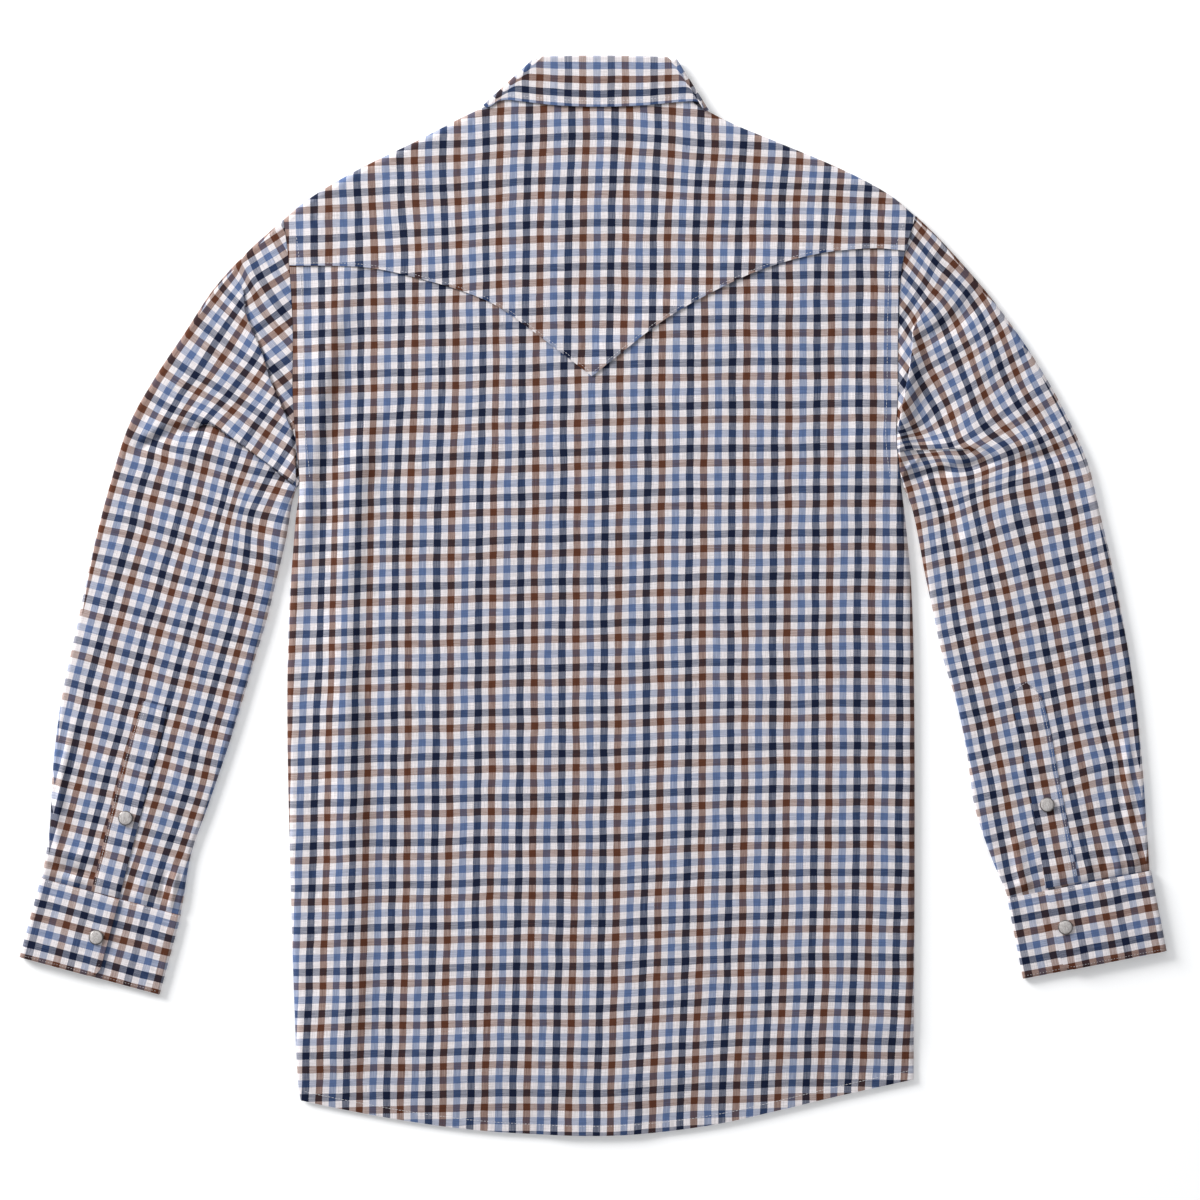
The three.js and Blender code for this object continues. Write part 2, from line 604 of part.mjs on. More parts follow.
/**
 * Height of a sleeve's top face at a place down its straight part, on the section that runs
 * through it, which is closed in on from both sides.
 */
function sleeveTopAt(sleeve, x, y) {
  const place = new THREE.Vector2(x, y);
  let [low, high] = [SLEEVE_STRAIGHT_FROM, 1];
  for (let pass = 0; pass < 30; pass++) {
    const share = (low + high) / 2;
    const { far, near } = sleeveSection(sleeve.rows, share);
    const beyond = near.clone().sub(far).cross(place.clone().sub(far)) * sleeve.side > 0;
    [low, high] = beyond ? [share, high] : [low, share];
  }
  const section = sleeveSection(sleeve.rows, low);
  const across = place.distanceTo(section.far) / section.width;
  return section.top + sleeveRelief(sleeve, across, x, y, low);
}

/** Band sewn over the sleeve's opening: the sleeve's own top face moved up. */
function sleeveBand(name, sleeve, rows, peak) {
  const numbered = rows.map((row, number) => ({ ...row, number }));
  const grid = steps(8).map((up) =>
    steps(2).map((across) => {
      const read = (column) => follow(numbered, 'number', column, up * (rows.length - 1));
      const x = mix(read('leftX'), read('rightX'), across);
      const tip = up === 1 ? peak * (1 - Math.abs(2 * across - 1)) : 0;
      const y = mix(read('leftY'), read('rightY'), across) + tip;
      return new THREE.Vector3(x, y, sleeveTopAt(sleeve, x, y) + SEAM + BAND_CLOTH);
    }),
  );
  return piece(name, clothWall(grid, BAND_CLOTH), cottonBand);
}

/** The cuff's own directions: across from its far corner, and down towards the hand. */
function cuffFrame(cuff) {
  const far = new THREE.Vector2(cuff.farX, cuff.farY);
  const across = new THREE.Vector2(cuff.nearX, cuff.nearY).sub(far);
  const width = across.length();
  across.normalize();
  const down = new THREE.Vector2(-across.y, across.x).multiplyScalar(-Math.sign(across.x));
  const at = (g, h, z) => new THREE.Vector3(...far.clone().addScaledVector(across, g).addScaledVector(down, h), z);
  return { width, at };
}

/** Cuff: a stiff band wound once round, its snapped end lying over the other end. */
function cuffBand(name, cuff) {
  const { width, at } = cuffFrame(cuff);
  const overTurn = CUFF_TOP / 2;
  const underTurn = CUFF_UNDER_TOP / 2;
  const grid = CUFF_ROWS.map((share) => {
    const h = share * CUFF_HEIGHT;
    const past = Math.max(0, h - (CUFF_HEIGHT - CUFF_CORNER)) / CUFF_CORNER;
    const end = cuff.over - CUFF_CORNER * (1 - Math.sqrt(1 - past * past * 0.96));
    const row = [];
    for (const t of steps(4).slice(0, -1)) row.push(at(mix(end, overTurn, t), h, CUFF_TOP));
    for (const t of steps(TURN_STEPS)) {
      const angle = Math.PI * (0.5 - t);
      row.push(at(overTurn * (1 - Math.cos(angle)), h, overTurn * (1 + Math.sin(angle))));
    }
    for (const t of steps(3).slice(1, -1)) row.push(at(mix(overTurn, width - underTurn, t), h, 0));
    for (const t of steps(TURN_STEPS)) {
      const angle = Math.PI * (t - 0.5);
      row.push(at(width - underTurn * (1 - Math.cos(angle)), h, underTurn * (1 + Math.sin(angle))));
    }
    for (const t of steps(3).slice(1)) {
      row.push(at(mix(width - underTurn, cuff.over - CUFF_UNDERLAP, t), h, CUFF_UNDER_TOP));
    }
    return cuff.side < 0 ? row.reverse() : row;
  });
  return piece(name, clothWall(grid.reverse(), CUFF_CLOTH), cottonBand);
}

/** Collar piece: its sections joined round the neck, with round turns at the sides. */
function collarSections(table, turn) {
  const middle = LEAF_TURN;
  const sections = [];
  for (const row of table) {
    const fold = new THREE.Vector3(row.foldX, row.foldY, 0);
    const edge = new THREE.Vector3(row.edgeX, row.edgeY, 0);
    if (row.layer !== 'turn') {
      const z = row.layer === 'under' ? middle - turn + (row.raise ?? 0) : middle + turn;
      sections.push({ fold: fold.setZ(z), edge: edge.setZ(z), out: new THREE.Vector3(0, 0, Math.sign(z - middle)) });
      continue;
    }
    const side = Math.sign(row.foldX);
    const outward = edge.clone().sub(fold).normalize();
    outward.set(outward.y * -side, outward.x * side, 0).multiplyScalar(-1);
    if (outward.x * side < 0) outward.negate();
    for (const t of steps(TURN_STEPS)) {
      const angle = Math.PI * (t - 0.5) * -side;
      const out = outward.clone().multiplyScalar(Math.cos(angle)).setZ(Math.sin(angle));
      const shift = out.clone().multiplyScalar(turn).addScaledVector(outward, -LEAF_TURN).setZ(middle + turn * out.z);
      sections.push({ fold: fold.clone().add(shift), edge: edge.clone().add(shift), out });
    }
  }
  return sections;
}

/** Collar leaf: turned down over the stand all round, with a point at each front end. */
function collarLeaf() {
  const sections = collarSections(COLLAR_LEAF, LEAF_TURN);
  const rows = [...LEAF_TUCK, ...COLLAR_SHARES.map((share) => ({ share }))].map((row) =>
    sections.map(({ fold, edge, out }) => {
      const share = row.share ?? row.down / fold.distanceTo(edge);
      return fold.clone().lerp(edge, share).addScaledVector(out, -(row.tuck ?? 0));
    }),
  );
  return piece('collar_leaf', clothWall(rows.reverse(), CLOTH), cottonCheck);
}

/** Collar stand: the band between the neck seam and the leaf, its ends snapped at the front. */
function collarStand() {
  const sections = collarSections(COLLAR_STAND, STAND_TURN);
  const down = [0, ...COLLAR_SHARES];
  const rows = down.map((share) => sections.map(({ fold, edge }) => fold.clone().lerp(edge, share)));
  return piece('collar_stand', clothWall(rows.reverse(), CLOTH), cottonBand);
}

/** Snap cap: a low dome within a plain rim, with its flat side down at z. */
function snapCap(name, x, y, z, height) {
  const profile = [
    new THREE.Vector2(0, 0),
    new THREE.Vector2(SNAP_RADIUS, 0),
    new THREE.Vector2(SNAP_RADIUS, height * 0.5),
    new THREE.Vector2(SNAP_RADIUS * 0.78, height * 0.9),
    new THREE.Vector2(0, height),
  ];
  const cap = piece(name, new THREE.LatheGeometry(profile, SNAP_SIDES).rotateX(Math.PI / 2), pearlSnap);
  cap.position.set(x, y, z);
  return cap;
}

/** The cuff's snap and the sleeve band's snap, each on the face it is set in. */
function sleeveSnaps(side, sleeve, cuff, bandSnap) {
  const { at } = cuffFrame(cuff);
  const seat = at(cuff.over - cuff.snapIn, cuff.snapDown, CUFF_TOP + SEAM);
  const bandZ = sleeveTopAt(sleeve, bandSnap.x, bandSnap.y) + 2 * SEAM + BAND_CLOTH;
  return [
    snapCap(`snap_cuff_${side}`, seat.x, seat.y, seat.z, SNAP_HEIGHT),
    snapCap(`snap_sleeve_${side}`, bandSnap.x, bandSnap.y, bandZ, SNAP_HEIGHT),
  ];
}

/** Snaps down the front: the top one in the collar stand, the others in the front band. */
function frontSnaps() {
  return Array.from({ length: FRONT_SNAPS }, (_, i) => {
    const y = FRONT_SNAP_TOP - (i === 0 ? 0 : FRONT_SNAP_FIRST_GAP + FRONT_SNAP_SPACING * (i - 1));
    const cap = snapCap(`snap_front_${i + 1}`, CENTRE, y, 0, FRONT_SNAP_HEIGHT);
    cap.rotation.x = Math.PI;
    cap.position.z = FRONT_SNAP_HEIGHT;
    return cap;
  });
}

const sleeveLeft = { rows: SLEEVE_LEFT, folds: SLEEVE_LEFT_FOLDS, armhole: bodyLeft, side: -1 };
const sleeveRight = { rows: SLEEVE_RIGHT, folds: SLEEVE_RIGHT_FOLDS, armhole: bodyRight, side: 1 };
// A cuff's top corners, how far along its snapped end comes, and its snap's place from that end
const cuffLeft = {
  farX: -453, farY: -231, nearX: -338.2, nearY: -262, over: 67, snapIn: 10, snapDown: 35, side: -1,
};
const cuffRight = {
  farX: 457.8, farY: -225, nearX: 340, nearY: -248, over: 87, snapIn: 8.6, snapDown: 32, side: 1,
};

const shirt = new THREE.Group();
shirt.add(
  back(),
  backYoke(),
  frontLeft(),
  frontRight(),
  frontBand(),
  collarStand(),
  collarLeaf(),
  sleeveTube('sleeve_left', sleeveLeft),
  sleeveTube('sleeve_right', sleeveRight),
  sleeveBand('sleeve_placket_left', sleeveLeft, BAND_LEFT, 0),
  sleeveBand('sleeve_placket_right', sleeveRight, BAND_RIGHT, BAND_RIGHT_PEAK),
  cuffBand('cuff_left', cuffLeft),
  cuffBand('cuff_right', cuffRight),
  ...sleeveSnaps('left', sleeveLeft, cuffLeft, { x: -383, y: -182 }),
  ...sleeveSnaps('right', sleeveRight, cuffRight, { x: 372, y: -171 }),
  ...frontSnaps(),
);

export default shirt;
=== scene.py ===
import bpy
import numpy as np
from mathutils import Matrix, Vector


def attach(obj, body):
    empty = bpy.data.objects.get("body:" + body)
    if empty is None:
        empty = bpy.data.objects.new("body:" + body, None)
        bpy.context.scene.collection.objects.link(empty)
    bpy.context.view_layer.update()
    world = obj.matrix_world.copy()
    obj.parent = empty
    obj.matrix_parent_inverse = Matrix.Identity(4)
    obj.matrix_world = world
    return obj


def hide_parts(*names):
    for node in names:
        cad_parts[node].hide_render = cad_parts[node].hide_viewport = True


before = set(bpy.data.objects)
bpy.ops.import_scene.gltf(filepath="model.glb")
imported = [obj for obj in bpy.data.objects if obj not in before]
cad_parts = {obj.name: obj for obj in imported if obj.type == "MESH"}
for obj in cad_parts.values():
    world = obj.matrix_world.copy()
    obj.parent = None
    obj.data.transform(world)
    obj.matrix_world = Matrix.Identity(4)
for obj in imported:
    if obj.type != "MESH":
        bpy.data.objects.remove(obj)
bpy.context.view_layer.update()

# Western snap shirt laid flat, face down, with its back on top and its sleeves down its sides.
# The tables are in millimetres: X towards the wearer's right sleeve, Y towards the collar, Z up.


# Back
# One panel of small-checked cotton shirting from the hem up under the yoke, lying on the fronts.
# It is joined to them down its sides with felled seams, and its rounded hem is turned up and stitched.
MM = 0.001
CLOTH = 0.6
BACK_TOP = 6.2
SIDE_EDGE = 1.5
LAYER = 1.2
FOLD_WIDTH = 6
FOLDS_BELOW = 76
OPENS_ABOVE = 106
YOKE_OVERLAP = 10
FELLED = 0.5
ARMHOLE_ROW = 8.5
BAND_CENTRE = 5.7
UNEVEN_BY = 0.22

# Height up the body, then its left and its right edge: side seams, then armholes
BODY_EDGE = [
    (-414, -240, 262), (-397, -242.5, 263), (-331, -245.5, 263.5), (-249, -248, 264), (-118, -251, 264),
    (-36, -250.5, 263), (13, -248, 261), (62, -244, 256.5), (94, -240.5, 252.5), (128, -243.5, 248.5),
    (165, -246, 249.5), (220, -246, 250), (272, -249, 253.5), (312, -254, 264.5),
]
# Places along the hem and along the yoke's pointed lower edge
HEM = [
    (-240, -414), (-207, -421), (-158, -430), (-109, -437), (-60, -441), (5.7, -443), (55, -440),
    (104, -433), (153, -422), (203, -410), (262, -397),
]
YOKE_EDGE = [
    (-250, 271), (-184, 269), (-138, 259), (-102, 248), (-76, 236), (-40, 210), (-0.8, 180),
    (19, 196), (55, 224), (88, 244), (134, 266), (182, 280), (229, 285), (256, 283),
]
YOKE_POINT = (6,)
# Height above the hem, and the share of its full height that the back has there
HEM_DROP = [(0, 0.12), (13, 0.38), (45, 1)]
# Creases: from and to a place, how high, how wide on each side, and how far bowed to the side
BACK_CREASES = [
    (-198, 272, -226, 104, 3.4, 24, 8, 5),
    (-223, 176, -240, -14, 3, 22, 8, 2),
    (-184, 152, -198, 0, 3.5, 18, 9, 4),
    (-198, 62, -198, -192, 3.2, 22, 9, 3),
    (-195, -128, -199, -402, 2.4, 22, 9, -4),
    (-206, 40, -212, -330, 0.5, 12, 9, -2),
    (-176, -60, -178, -320, -0.7, 10, 10, 2),
    (-178, 130, -150, -20, 0.35, 14, 18, 6),
    (234, 262, 222, 90, 1.1, 9, 12, 5),
    (218, 262, 204, 120, -0.7, 10, 8, -4),
    (240, 60, 244, -120, 0.4, 8, 12, -3),
    (-60, 150, -90, -150, 0.3, 26, 30, 12),
    (90, 190, 120, -60, 0.3, 30, 22, -10),
    (150, -90, 120, -340, -0.35, 30, 26, 14),
    (-120, -180, -70, -400, 0.3, 24, 34, -12),
    (30, -200, -20, -420, 0.25, 30, 24, 10),
    (200, -240, 215, -400, 0.35, 16, 20, 5),
    (-225, -250, -215, -400, 0.5, 12, 16, 4),
]
# Height, how far the warp leans sideways there, and how much of it is taken in at the left side
WARP_LEAN = [
    (-440, 2.5, 2), (-364, 4.5, 3), (-315, 6, 3.5), (-216, 8, 4.5), (-118, 9, 6), (-20, 9, 10),
    (79, 10, 11.5), (161, 10.5, 10), (300, 11, 8),
]
# Place across, and the share of the left side's taking in that shows there
WARP_TAKEN = [(-223, 1), (-194, 0.5), (-163, 0.15), (-94, 0.08), (0, 0)]
# Place across, and how far the columns are pushed aside there just under and over the yoke's edge
WARP_PUSHED = [(-250, 0), (-222, 0.3), (-191, 2.2), (-158, 3.9), (-125, 3.3), (-92, 2.1), (-56, 0), (0, 0)]
# Place across, and how far the weft sags there under the yoke and at the hem
WEFT_SAG = [
    (-250, 11.2, 4.6), (-220, 9.6, 3.6), (-175, 7, 2), (-125, 5.4, 1.1), (-76, 3.4, -0.5), (6, 0, 0),
    (55, -1.3, -3.2), (104, -2.2, -6.2), (153, -2.6, -7.9), (203, -3.6, -8.7), (262, -3.6, -7.7),
]
# Height up the middle, and which weft stripe runs there, counted down from the first under the yoke
WEFT_STRIPE = [(-450, 17.21), (-407.8, 16), (-163.8, 9), (154.1, 0), (330, -4.98)]
WARP_REPEAT = 34.6
WEFT_REPEAT = 35.1


def mix(start, end, share):
    """The start moved a share of the way to the end."""
    return start + (end - start) * share


def ease(value, start, end):
    """A step from 0 to 1 between start and end, slow at both ends: 3 t squared less 2 t cubed."""
    t = np.clip((value - start) / (end - start), 0, 1)
    return t * t * (3 - 2 * t)


def follow(rows, at, column=1, corners=()):
    """A table's column read where its first column is `at`. Between two rows it is the cubic whose slope at
    each row is that from the row before to the row after, or its own chord's at a corner. Beyond the ends it
    is constant."""
    key = np.array([row[0] for row in rows], float)
    value = np.array([row[column] for row in rows], float)
    before = np.maximum(np.arange(len(key)) - 1, 0)
    after = np.minimum(np.arange(len(key)) + 1, len(key) - 1)
    slope = (value[after] - value[before]) / (key[after] - key[before])
    corner = np.isin(np.arange(len(key)), corners)
    at = np.clip(at, key[0], key[-1])
    i = np.clip(np.searchsorted(key, at, side="right") - 1, 0, len(key) - 2)
    span = key[i + 1] - key[i]
    t = (at - key[i]) / span
    chord = (value[i + 1] - value[i]) / span
    first = np.where(corner[i], chord, slope[i])
    last = np.where(corner[i + 1], chord, slope[i + 1])
    bend = t * t * (3 - 2 * t)
    return mix(value[i], value[i + 1], bend) + span * t * (1 - t) * (first * (1 - t) - last * t)


def creases(lines, x, y):
    """Height of the creases at each place. Across, each is a bell with a width for each of its sides. Along,
    it follows a line bowed to the side, swells and thins unevenly, and dies out at its ends."""
    height = np.zeros_like(x)
    for x0, y0, x1, y1, rise, right, left, bow in lines:
        length = np.hypot(x1 - x0, y1 - y0)
        along_x, along_y = (x1 - x0) / length, (y1 - y0) / length
        t = ((x - x0) * along_x + (y - y0) * along_y) / length
        inside = np.clip(t, 0, 1)
        aside = (x - x0) * along_y - (y - y0) * along_x - 4 * bow * inside * (1 - inside)
        swell = 1 + 0.25 * np.sin(9 * inside + x0) + 0.15 * np.sin(23 * inside + y0)
        ends = ease(t, -0.08, 0.25) * (1 - ease(t, 0.72, 1.08))
        height += rise * swell * ends * np.exp(-((aside / np.where(aside > 0, right, left)) ** 2))
    return height


def unevenness(x, y, seed):
    """Slow rise and fall of cloth that lies loosely: seven sine waves, 55 to 170 mm long, each in its own
    direction."""
    waves = np.random.default_rng(seed)
    total = np.zeros_like(x)
    for _ in range(7):
        turn, start = waves.uniform(0, 2 * np.pi, 2)
        length = waves.uniform(55, 170)
        total += np.sin(2 * np.pi * (x * np.cos(turn) + y * np.sin(turn)) / length + start) * length / 170
    return UNEVEN_BY * total / 3


def body_left(y):
    """The body's left edge at a height."""
    return follow(BODY_EDGE, y, 1)


def body_right(y):
    """The body's right edge at a height."""
    return follow(BODY_EDGE, y, 2)


def hem(x):
    """Height of the hem's edge at a place across."""
    return follow(HEM, x)


def yoke_edge(x):
    """Height of the yoke's pointed edge at a place across."""
    return follow(YOKE_EDGE, x, corners=YOKE_POINT)


def on_body(level, across, inset=0.0):
    """Places at a share of the way across the body, moved in by the inset, at the height that `level` gives
    there. Each depends on the other, so they are worked out in turns."""
    x = mix(body_left(0), body_right(0), across) + np.zeros_like(level(across))
    for _ in range(8):
        y = level(x)
        x = mix(body_left(y), body_right(y), across) + inset
    return x, y


def side_steps(columns):
    """Shares across the body and how far each is moved in: close together over the folds at both sides, then
    even."""
    inset = FOLD_WIDTH * (1 - np.cos(np.linspace(0, np.pi / 2, 7)))
    middle = np.linspace(0, 1, columns)[1:-1]
    across = np.concatenate([0 * inset, middle, 0 * inset + 1])
    moved = np.concatenate([inset, mix(FOLD_WIDTH, -FOLD_WIDTH, middle), -inset[::-1]])
    return across, moved


def rounding(distance):
    """Quarter circle: 0 at a folded edge, rising to 1 at the fold's width from it."""
    out = 1 - np.clip(distance / FOLD_WIDTH, 0, 1)
    return np.sqrt(np.clip(1 - out * out, 0, 1))


def back_height(x, y):
    """Height of the back's upper face: round at the side folds, low at the hem, and raised by its
    creases."""
    over_band = 0.6 * (1 - ease(np.abs(x - BAND_CENTRE), 25, 60))
    share = np.maximum(follow(HEM_DROP, y - hem(x)), over_band)
    edge = SIDE_EDGE + LAYER * (1 - share * share)
    inside = np.minimum(x - body_left(y), body_right(y) - x)
    folded = 1 - ease(y, FOLDS_BELOW, OPENS_ABOVE)
    flat = edge + (BACK_TOP - edge) * mix(1, rounding(inside), folded) * share
    inland = ease(inside, 2, 30) * ease(y - hem(x), 4, 60)
    felled = FELLED * (1 - ease(inside, 8, 10.5)) * ease(y, OPENS_ABOVE - 6, OPENS_ABOVE + 8)
    turned_up = 0.35 * (1 - ease(y - hem(x), 8, 10)) * (1 - share)
    return flat + felled + turned_up + creases(BACK_CREASES, x, y) * share + unevenness(x, y, 3) * inland


def back_cloth(x, y):
    """Place on the flat cloth: across from a navy warp stripe, and down from a navy weft stripe."""
    taken = follow(WARP_LEAN, y, 2) * follow(WARP_TAKEN, x) + follow(WARP_PUSHED, x) * ease(y, 60, 190)
    splayed = 0.01 * np.maximum(x, 0) * (1 - ease(y, -420, -300))
    across = x - follow(WARP_LEAN, y, 1) - taken + splayed
    sag = mix(follow(WEFT_SAG, x, 1), follow(WEFT_SAG, x, 2), ease(y, 230, -480))
    return np.stack([across, follow(WEFT_STRIPE, y + sag) * WEFT_REPEAT], axis=-1)


def cloth_shell(name, points, cloth, thickness, ring=False, pleats=()):
    """Closed wall of cloth. The points are its outer face in rows, seen from outside left to right and from
    the bottom up. The inner face lies one thickness in along the normals, which are the cross product of the
    grid's two directions, and rims join the two. In a ring each row closes on itself. The cloth holds each
    point's place on the flat cloth, kept as the UV map in metres. Each pleat brings the cloth that lies
    beyond it, kept as a UV map of its own, and how far each point is past the pleat's line, kept as an
    attribute."""
    rows, columns = points.shape[:2]
    gaps = columns if ring else columns - 1
    across = np.roll(points, -1, 1) - np.roll(points, 1, 1) if ring else np.gradient(points, axis=1)
    normal = np.cross(across, np.gradient(points, axis=0))
    normal /= np.maximum(np.linalg.norm(normal, axis=2, keepdims=True), 1e-9)
    inner = points - thickness * normal

    def quads(*corners):
        """Four corners, each its side, row and column as arrays of the same length or plain numbers."""
        return np.stack([np.stack(np.broadcast_arrays(*corner), -1).reshape(-1, 3) for corner in corners], 1)

    r, c = np.meshgrid(np.arange(rows - 1), np.arange(gaps), indexing="ij")
    i, end, top = np.arange(gaps), columns - 1, rows - 1
    parts = [
        quads((0, r, c), (0, r, c + 1), (0, r + 1, c + 1), (0, r + 1, c)),
        quads((1, r, c), (1, r + 1, c), (1, r + 1, c + 1), (1, r, c + 1)),
        quads((0, 0, i), (1, 0, i), (1, 0, i + 1), (0, 0, i + 1)),
        quads((0, top, i), (0, top, i + 1), (1, top, i + 1), (1, top, i)),
    ]
    if not ring:
        j = np.arange(rows - 1)
        parts.append(quads((0, j, 0), (0, j + 1, 0), (1, j + 1, 0), (1, j, 0)))
        parts.append(quads((0, j, end), (1, j, end), (1, j + 1, end), (0, j + 1, end)))
    corner = np.concatenate(parts)
    vertex = corner[..., 0] * rows * columns + corner[..., 1] * columns + corner[..., 2] % columns
    places = np.concatenate([points.reshape(-1, 3), inner.reshape(-1, 3)]) * MM
    mesh = bpy.data.meshes.new(name)
    mesh.from_pydata(places.tolist(), [], vertex.tolist())
    for number, (laid, beyond) in enumerate([(cloth, None), *pleats]):
        uv_map = mesh.uv_layers.new(name=f"cloth_{number}" if number else "cloth")
        uv_map.data.foreach_set("uv", (laid[corner[..., 1], corner[..., 2]] * MM).ravel())
        if number:
            attribute = mesh.attributes.new(f"beyond_{number}", "FLOAT", "POINT")
            attribute.data.foreach_set("value", np.tile(beyond.ravel(), 2))
    mesh.polygons.foreach_set("use_smooth", np.ones(len(mesh.polygons), bool))
    mesh.set_sharp_from_angle(angle=np.radians(50))
    piece = bpy.data.objects.new(name, mesh)
    bpy.context.collection.objects.link(piece)
    return piece


class Signal:
    """A node's output in a material. Sums of signals and numbers are written out as plain expressions."""

    def __init__(self, finish, socket):
        self.finish = finish
        self.socket = socket

    def maths(self, operation, left, right):
        """One maths node worked on two signals or numbers."""
        return self.finish.add("ShaderNodeMath", {"operation": operation}, {0: left, 1: right})

    def __add__(self, other):
        return self.maths("ADD", self, other)

    def __sub__(self, other):
        return self.maths("SUBTRACT", self, other)

    def __rsub__(self, other):
        return self.maths("SUBTRACT", other, self)

    def __mul__(self, other):
        return self.maths("MULTIPLY", self, other)

    def __truediv__(self, other):
        return self.maths("DIVIDE", self, other)

    __radd__ = __add__
    __rmul__ = __mul__


class Finish:
    """A material built up node by node."""

    def __init__(self, name):
        self.material = bpy.data.materials.new(name)
        self.material.use_nodes = True
        self.tree = self.material.node_tree
        self.tree.nodes.clear()

    def add(self, kind, settings=None, values=None, output=0):
        """Puts in a node of this type: its settings first, a ramp's stops among them, then its values or
        links."""
        node = self.tree.nodes.new(kind)
        for name, value in (settings or {}).items():
            if name != "stops":
                setattr(node, name, value)
                continue
            ramp = node.color_ramp
            ramp.interpolation = "CONSTANT"
            for number, (place, colour) in enumerate(value):
                stop = ramp.elements[number] if number < 2 else ramp.elements.new(place)
                stop.position = place
                stop.color = (*colour, 1)
        for name, value in (values or {}).items():
            if isinstance(value, Signal):
                self.tree.links.new(value.socket, node.inputs[name])
            else:
                node.inputs[name].default_value = value
        return Signal(self, node.outputs[output] if node.outputs else None)

    def surface(self, **values):
        """The shader itself, with a socket's name written with _ for a space, and the material's output."""
        named = {name.replace("_", " "): value for name, value in values.items()}
        shader = self.add("ShaderNodeBsdfPrincipled", None, named)
        self.add("ShaderNodeOutputMaterial", None, {"Surface": shader})
        return self.material


# Yarn colours as they look, before the light: each stripe and the white ground
WHITE_YARN = (0.905, 0.878, 0.884)
NAVY_YARN = (0.06, 0.105, 0.205)
BROWN_YARN = (0.35, 0.205, 0.145)
BLUE_YARN = (0.345, 0.42, 0.575)
STRIPE = 0.172
WARP_SHOWS = 0.58
YARN = 0.45 * MM
DRIFT = 2.2 * MM
SLUB_PUSH = 0.6 * MM


def shirting(name, softness=1.0, pleats=0):
    """Plain-woven cotton in a small check. Warp and weft each run navy, white, brown, white, blue, white,
    and where they cross their colours mix. The yarns' own thickness varies along them, and the weave stands
    out a little. Past each pleat's line the cloth beyond it shows."""
    finish = Finish(name)
    half = STRIPE / 2
    order = [NAVY_YARN, WHITE_YARN, BROWN_YARN, WHITE_YARN, BLUE_YARN, WHITE_YARN, NAVY_YARN]
    starts = [0, half, 1 / 3 - half, 1 / 3 + half, 2 / 3 - half, 2 / 3 + half, 1 - half]
    stops = list(zip(starts, order))
    place = finish.add("ShaderNodeUVMap", {"uv_map": "cloth"})
    for number in range(1, pleats + 1):
        beyond = finish.add("ShaderNodeAttribute", {"attribute_name": f"beyond_{number}"}, None, 2)
        past = finish.add("ShaderNodeMath", {"operation": "GREATER_THAN"}, {0: beyond, 1: 0.0})
        after = finish.add("ShaderNodeUVMap", {"uv_map": f"cloth_{number}"})
        place = finish.add("ShaderNodeMix", {"data_type": "VECTOR"}, {0: past, 4: place, 5: after}, 1)
    drift = finish.add("ShaderNodeTexNoise", None, {"Vector": place, "Scale": 28.0, "Detail": 2.0}, 1)

    def drifted(axis):
        """The place along one axis, pushed aside by slow noise, so no stripe runs dead straight."""
        straight = finish.add("ShaderNodeSeparateXYZ", None, {"Vector": place}, axis)
        return straight + (finish.add("ShaderNodeSeparateXYZ", None, {"Vector": drift}, axis) - 0.5) * DRIFT

    across, down = drifted(0), drifted(1)

    def streaks(along_x, along_y, detail):
        """Noise drawn out along one yarn, less its middle value of one half."""
        stretched = finish.add("ShaderNodeMapping", None, {"Vector": place, "Scale": (along_x, along_y, 1)})
        noise = finish.add("ShaderNodeTexNoise", None, {"Vector": stretched, "Scale": 1.0, "Detail": detail})
        return noise - 0.5

    warp_slub = streaks(1600, 60, 2.0)
    weft_slub = streaks(60, 1600, 2.0)
    warp_place = (across + weft_slub * SLUB_PUSH) / (WARP_REPEAT * MM)
    weft_place = (down + warp_slub * SLUB_PUSH) / (WEFT_REPEAT * MM)
    warp_turn = finish.add("ShaderNodeMath", {"operation": "FRACT"}, {0: warp_place})
    weft_turn = finish.add("ShaderNodeMath", {"operation": "FRACT"}, {0: weft_place})
    warp = finish.add("ShaderNodeValToRGB", {"stops": stops}, {0: warp_turn})
    weft = finish.add("ShaderNodeValToRGB", {"stops": stops}, {0: weft_turn})
    ups = finish.add("ShaderNodeMath", {"operation": "SINE"}, {0: across * (2 * np.pi / YARN)})
    downs = finish.add("ShaderNodeMath", {"operation": "SINE"}, {0: down * (2 * np.pi / YARN)})
    weave = ups * downs
    share = (1 - WARP_SHOWS) + weave * 0.08 + warp_slub * 0.38 - weft_slub * 0.38
    crossing = finish.add("ShaderNodeMix", {"data_type": "RGBA"}, {0: share, 6: warp, 7: weft}, 2)
    cloud = finish.add("ShaderNodeTexNoise", None, {"Vector": place, "Scale": 22.0, "Detail": 3.0})
    tone = 0.955 + cloud * 0.05 + (warp_slub + weft_slub) * 0.3
    toned = finish.add("ShaderNodeVectorMath", {"operation": "SCALE"}, {0: crossing, 3: tone})
    colour = finish.add("ShaderNodeGamma", None, {"Color": toned, "Gamma": 2.2})
    rough = 0.8 + weave * 0.06
    soft = finish.add("ShaderNodeTexNoise", None, {"Vector": place, "Scale": 160.0, "Detail": 3.0})
    relief = weave * (0.05 * MM) + (warp_slub + weft_slub) * (0.06 * MM) + soft * (0.25 * MM * softness)
    bump = finish.add("ShaderNodeBump", None, {"Height": relief, "Distance": 1.0, "Strength": 0.6})
    return finish.surface(
        Base_Color=colour, Roughness=rough, Normal=bump, Sheen_Weight=0.04, Sheen_Roughness=0.5,
        Specular_IOR_Level=0.16,
    )


THREAD = 0.15


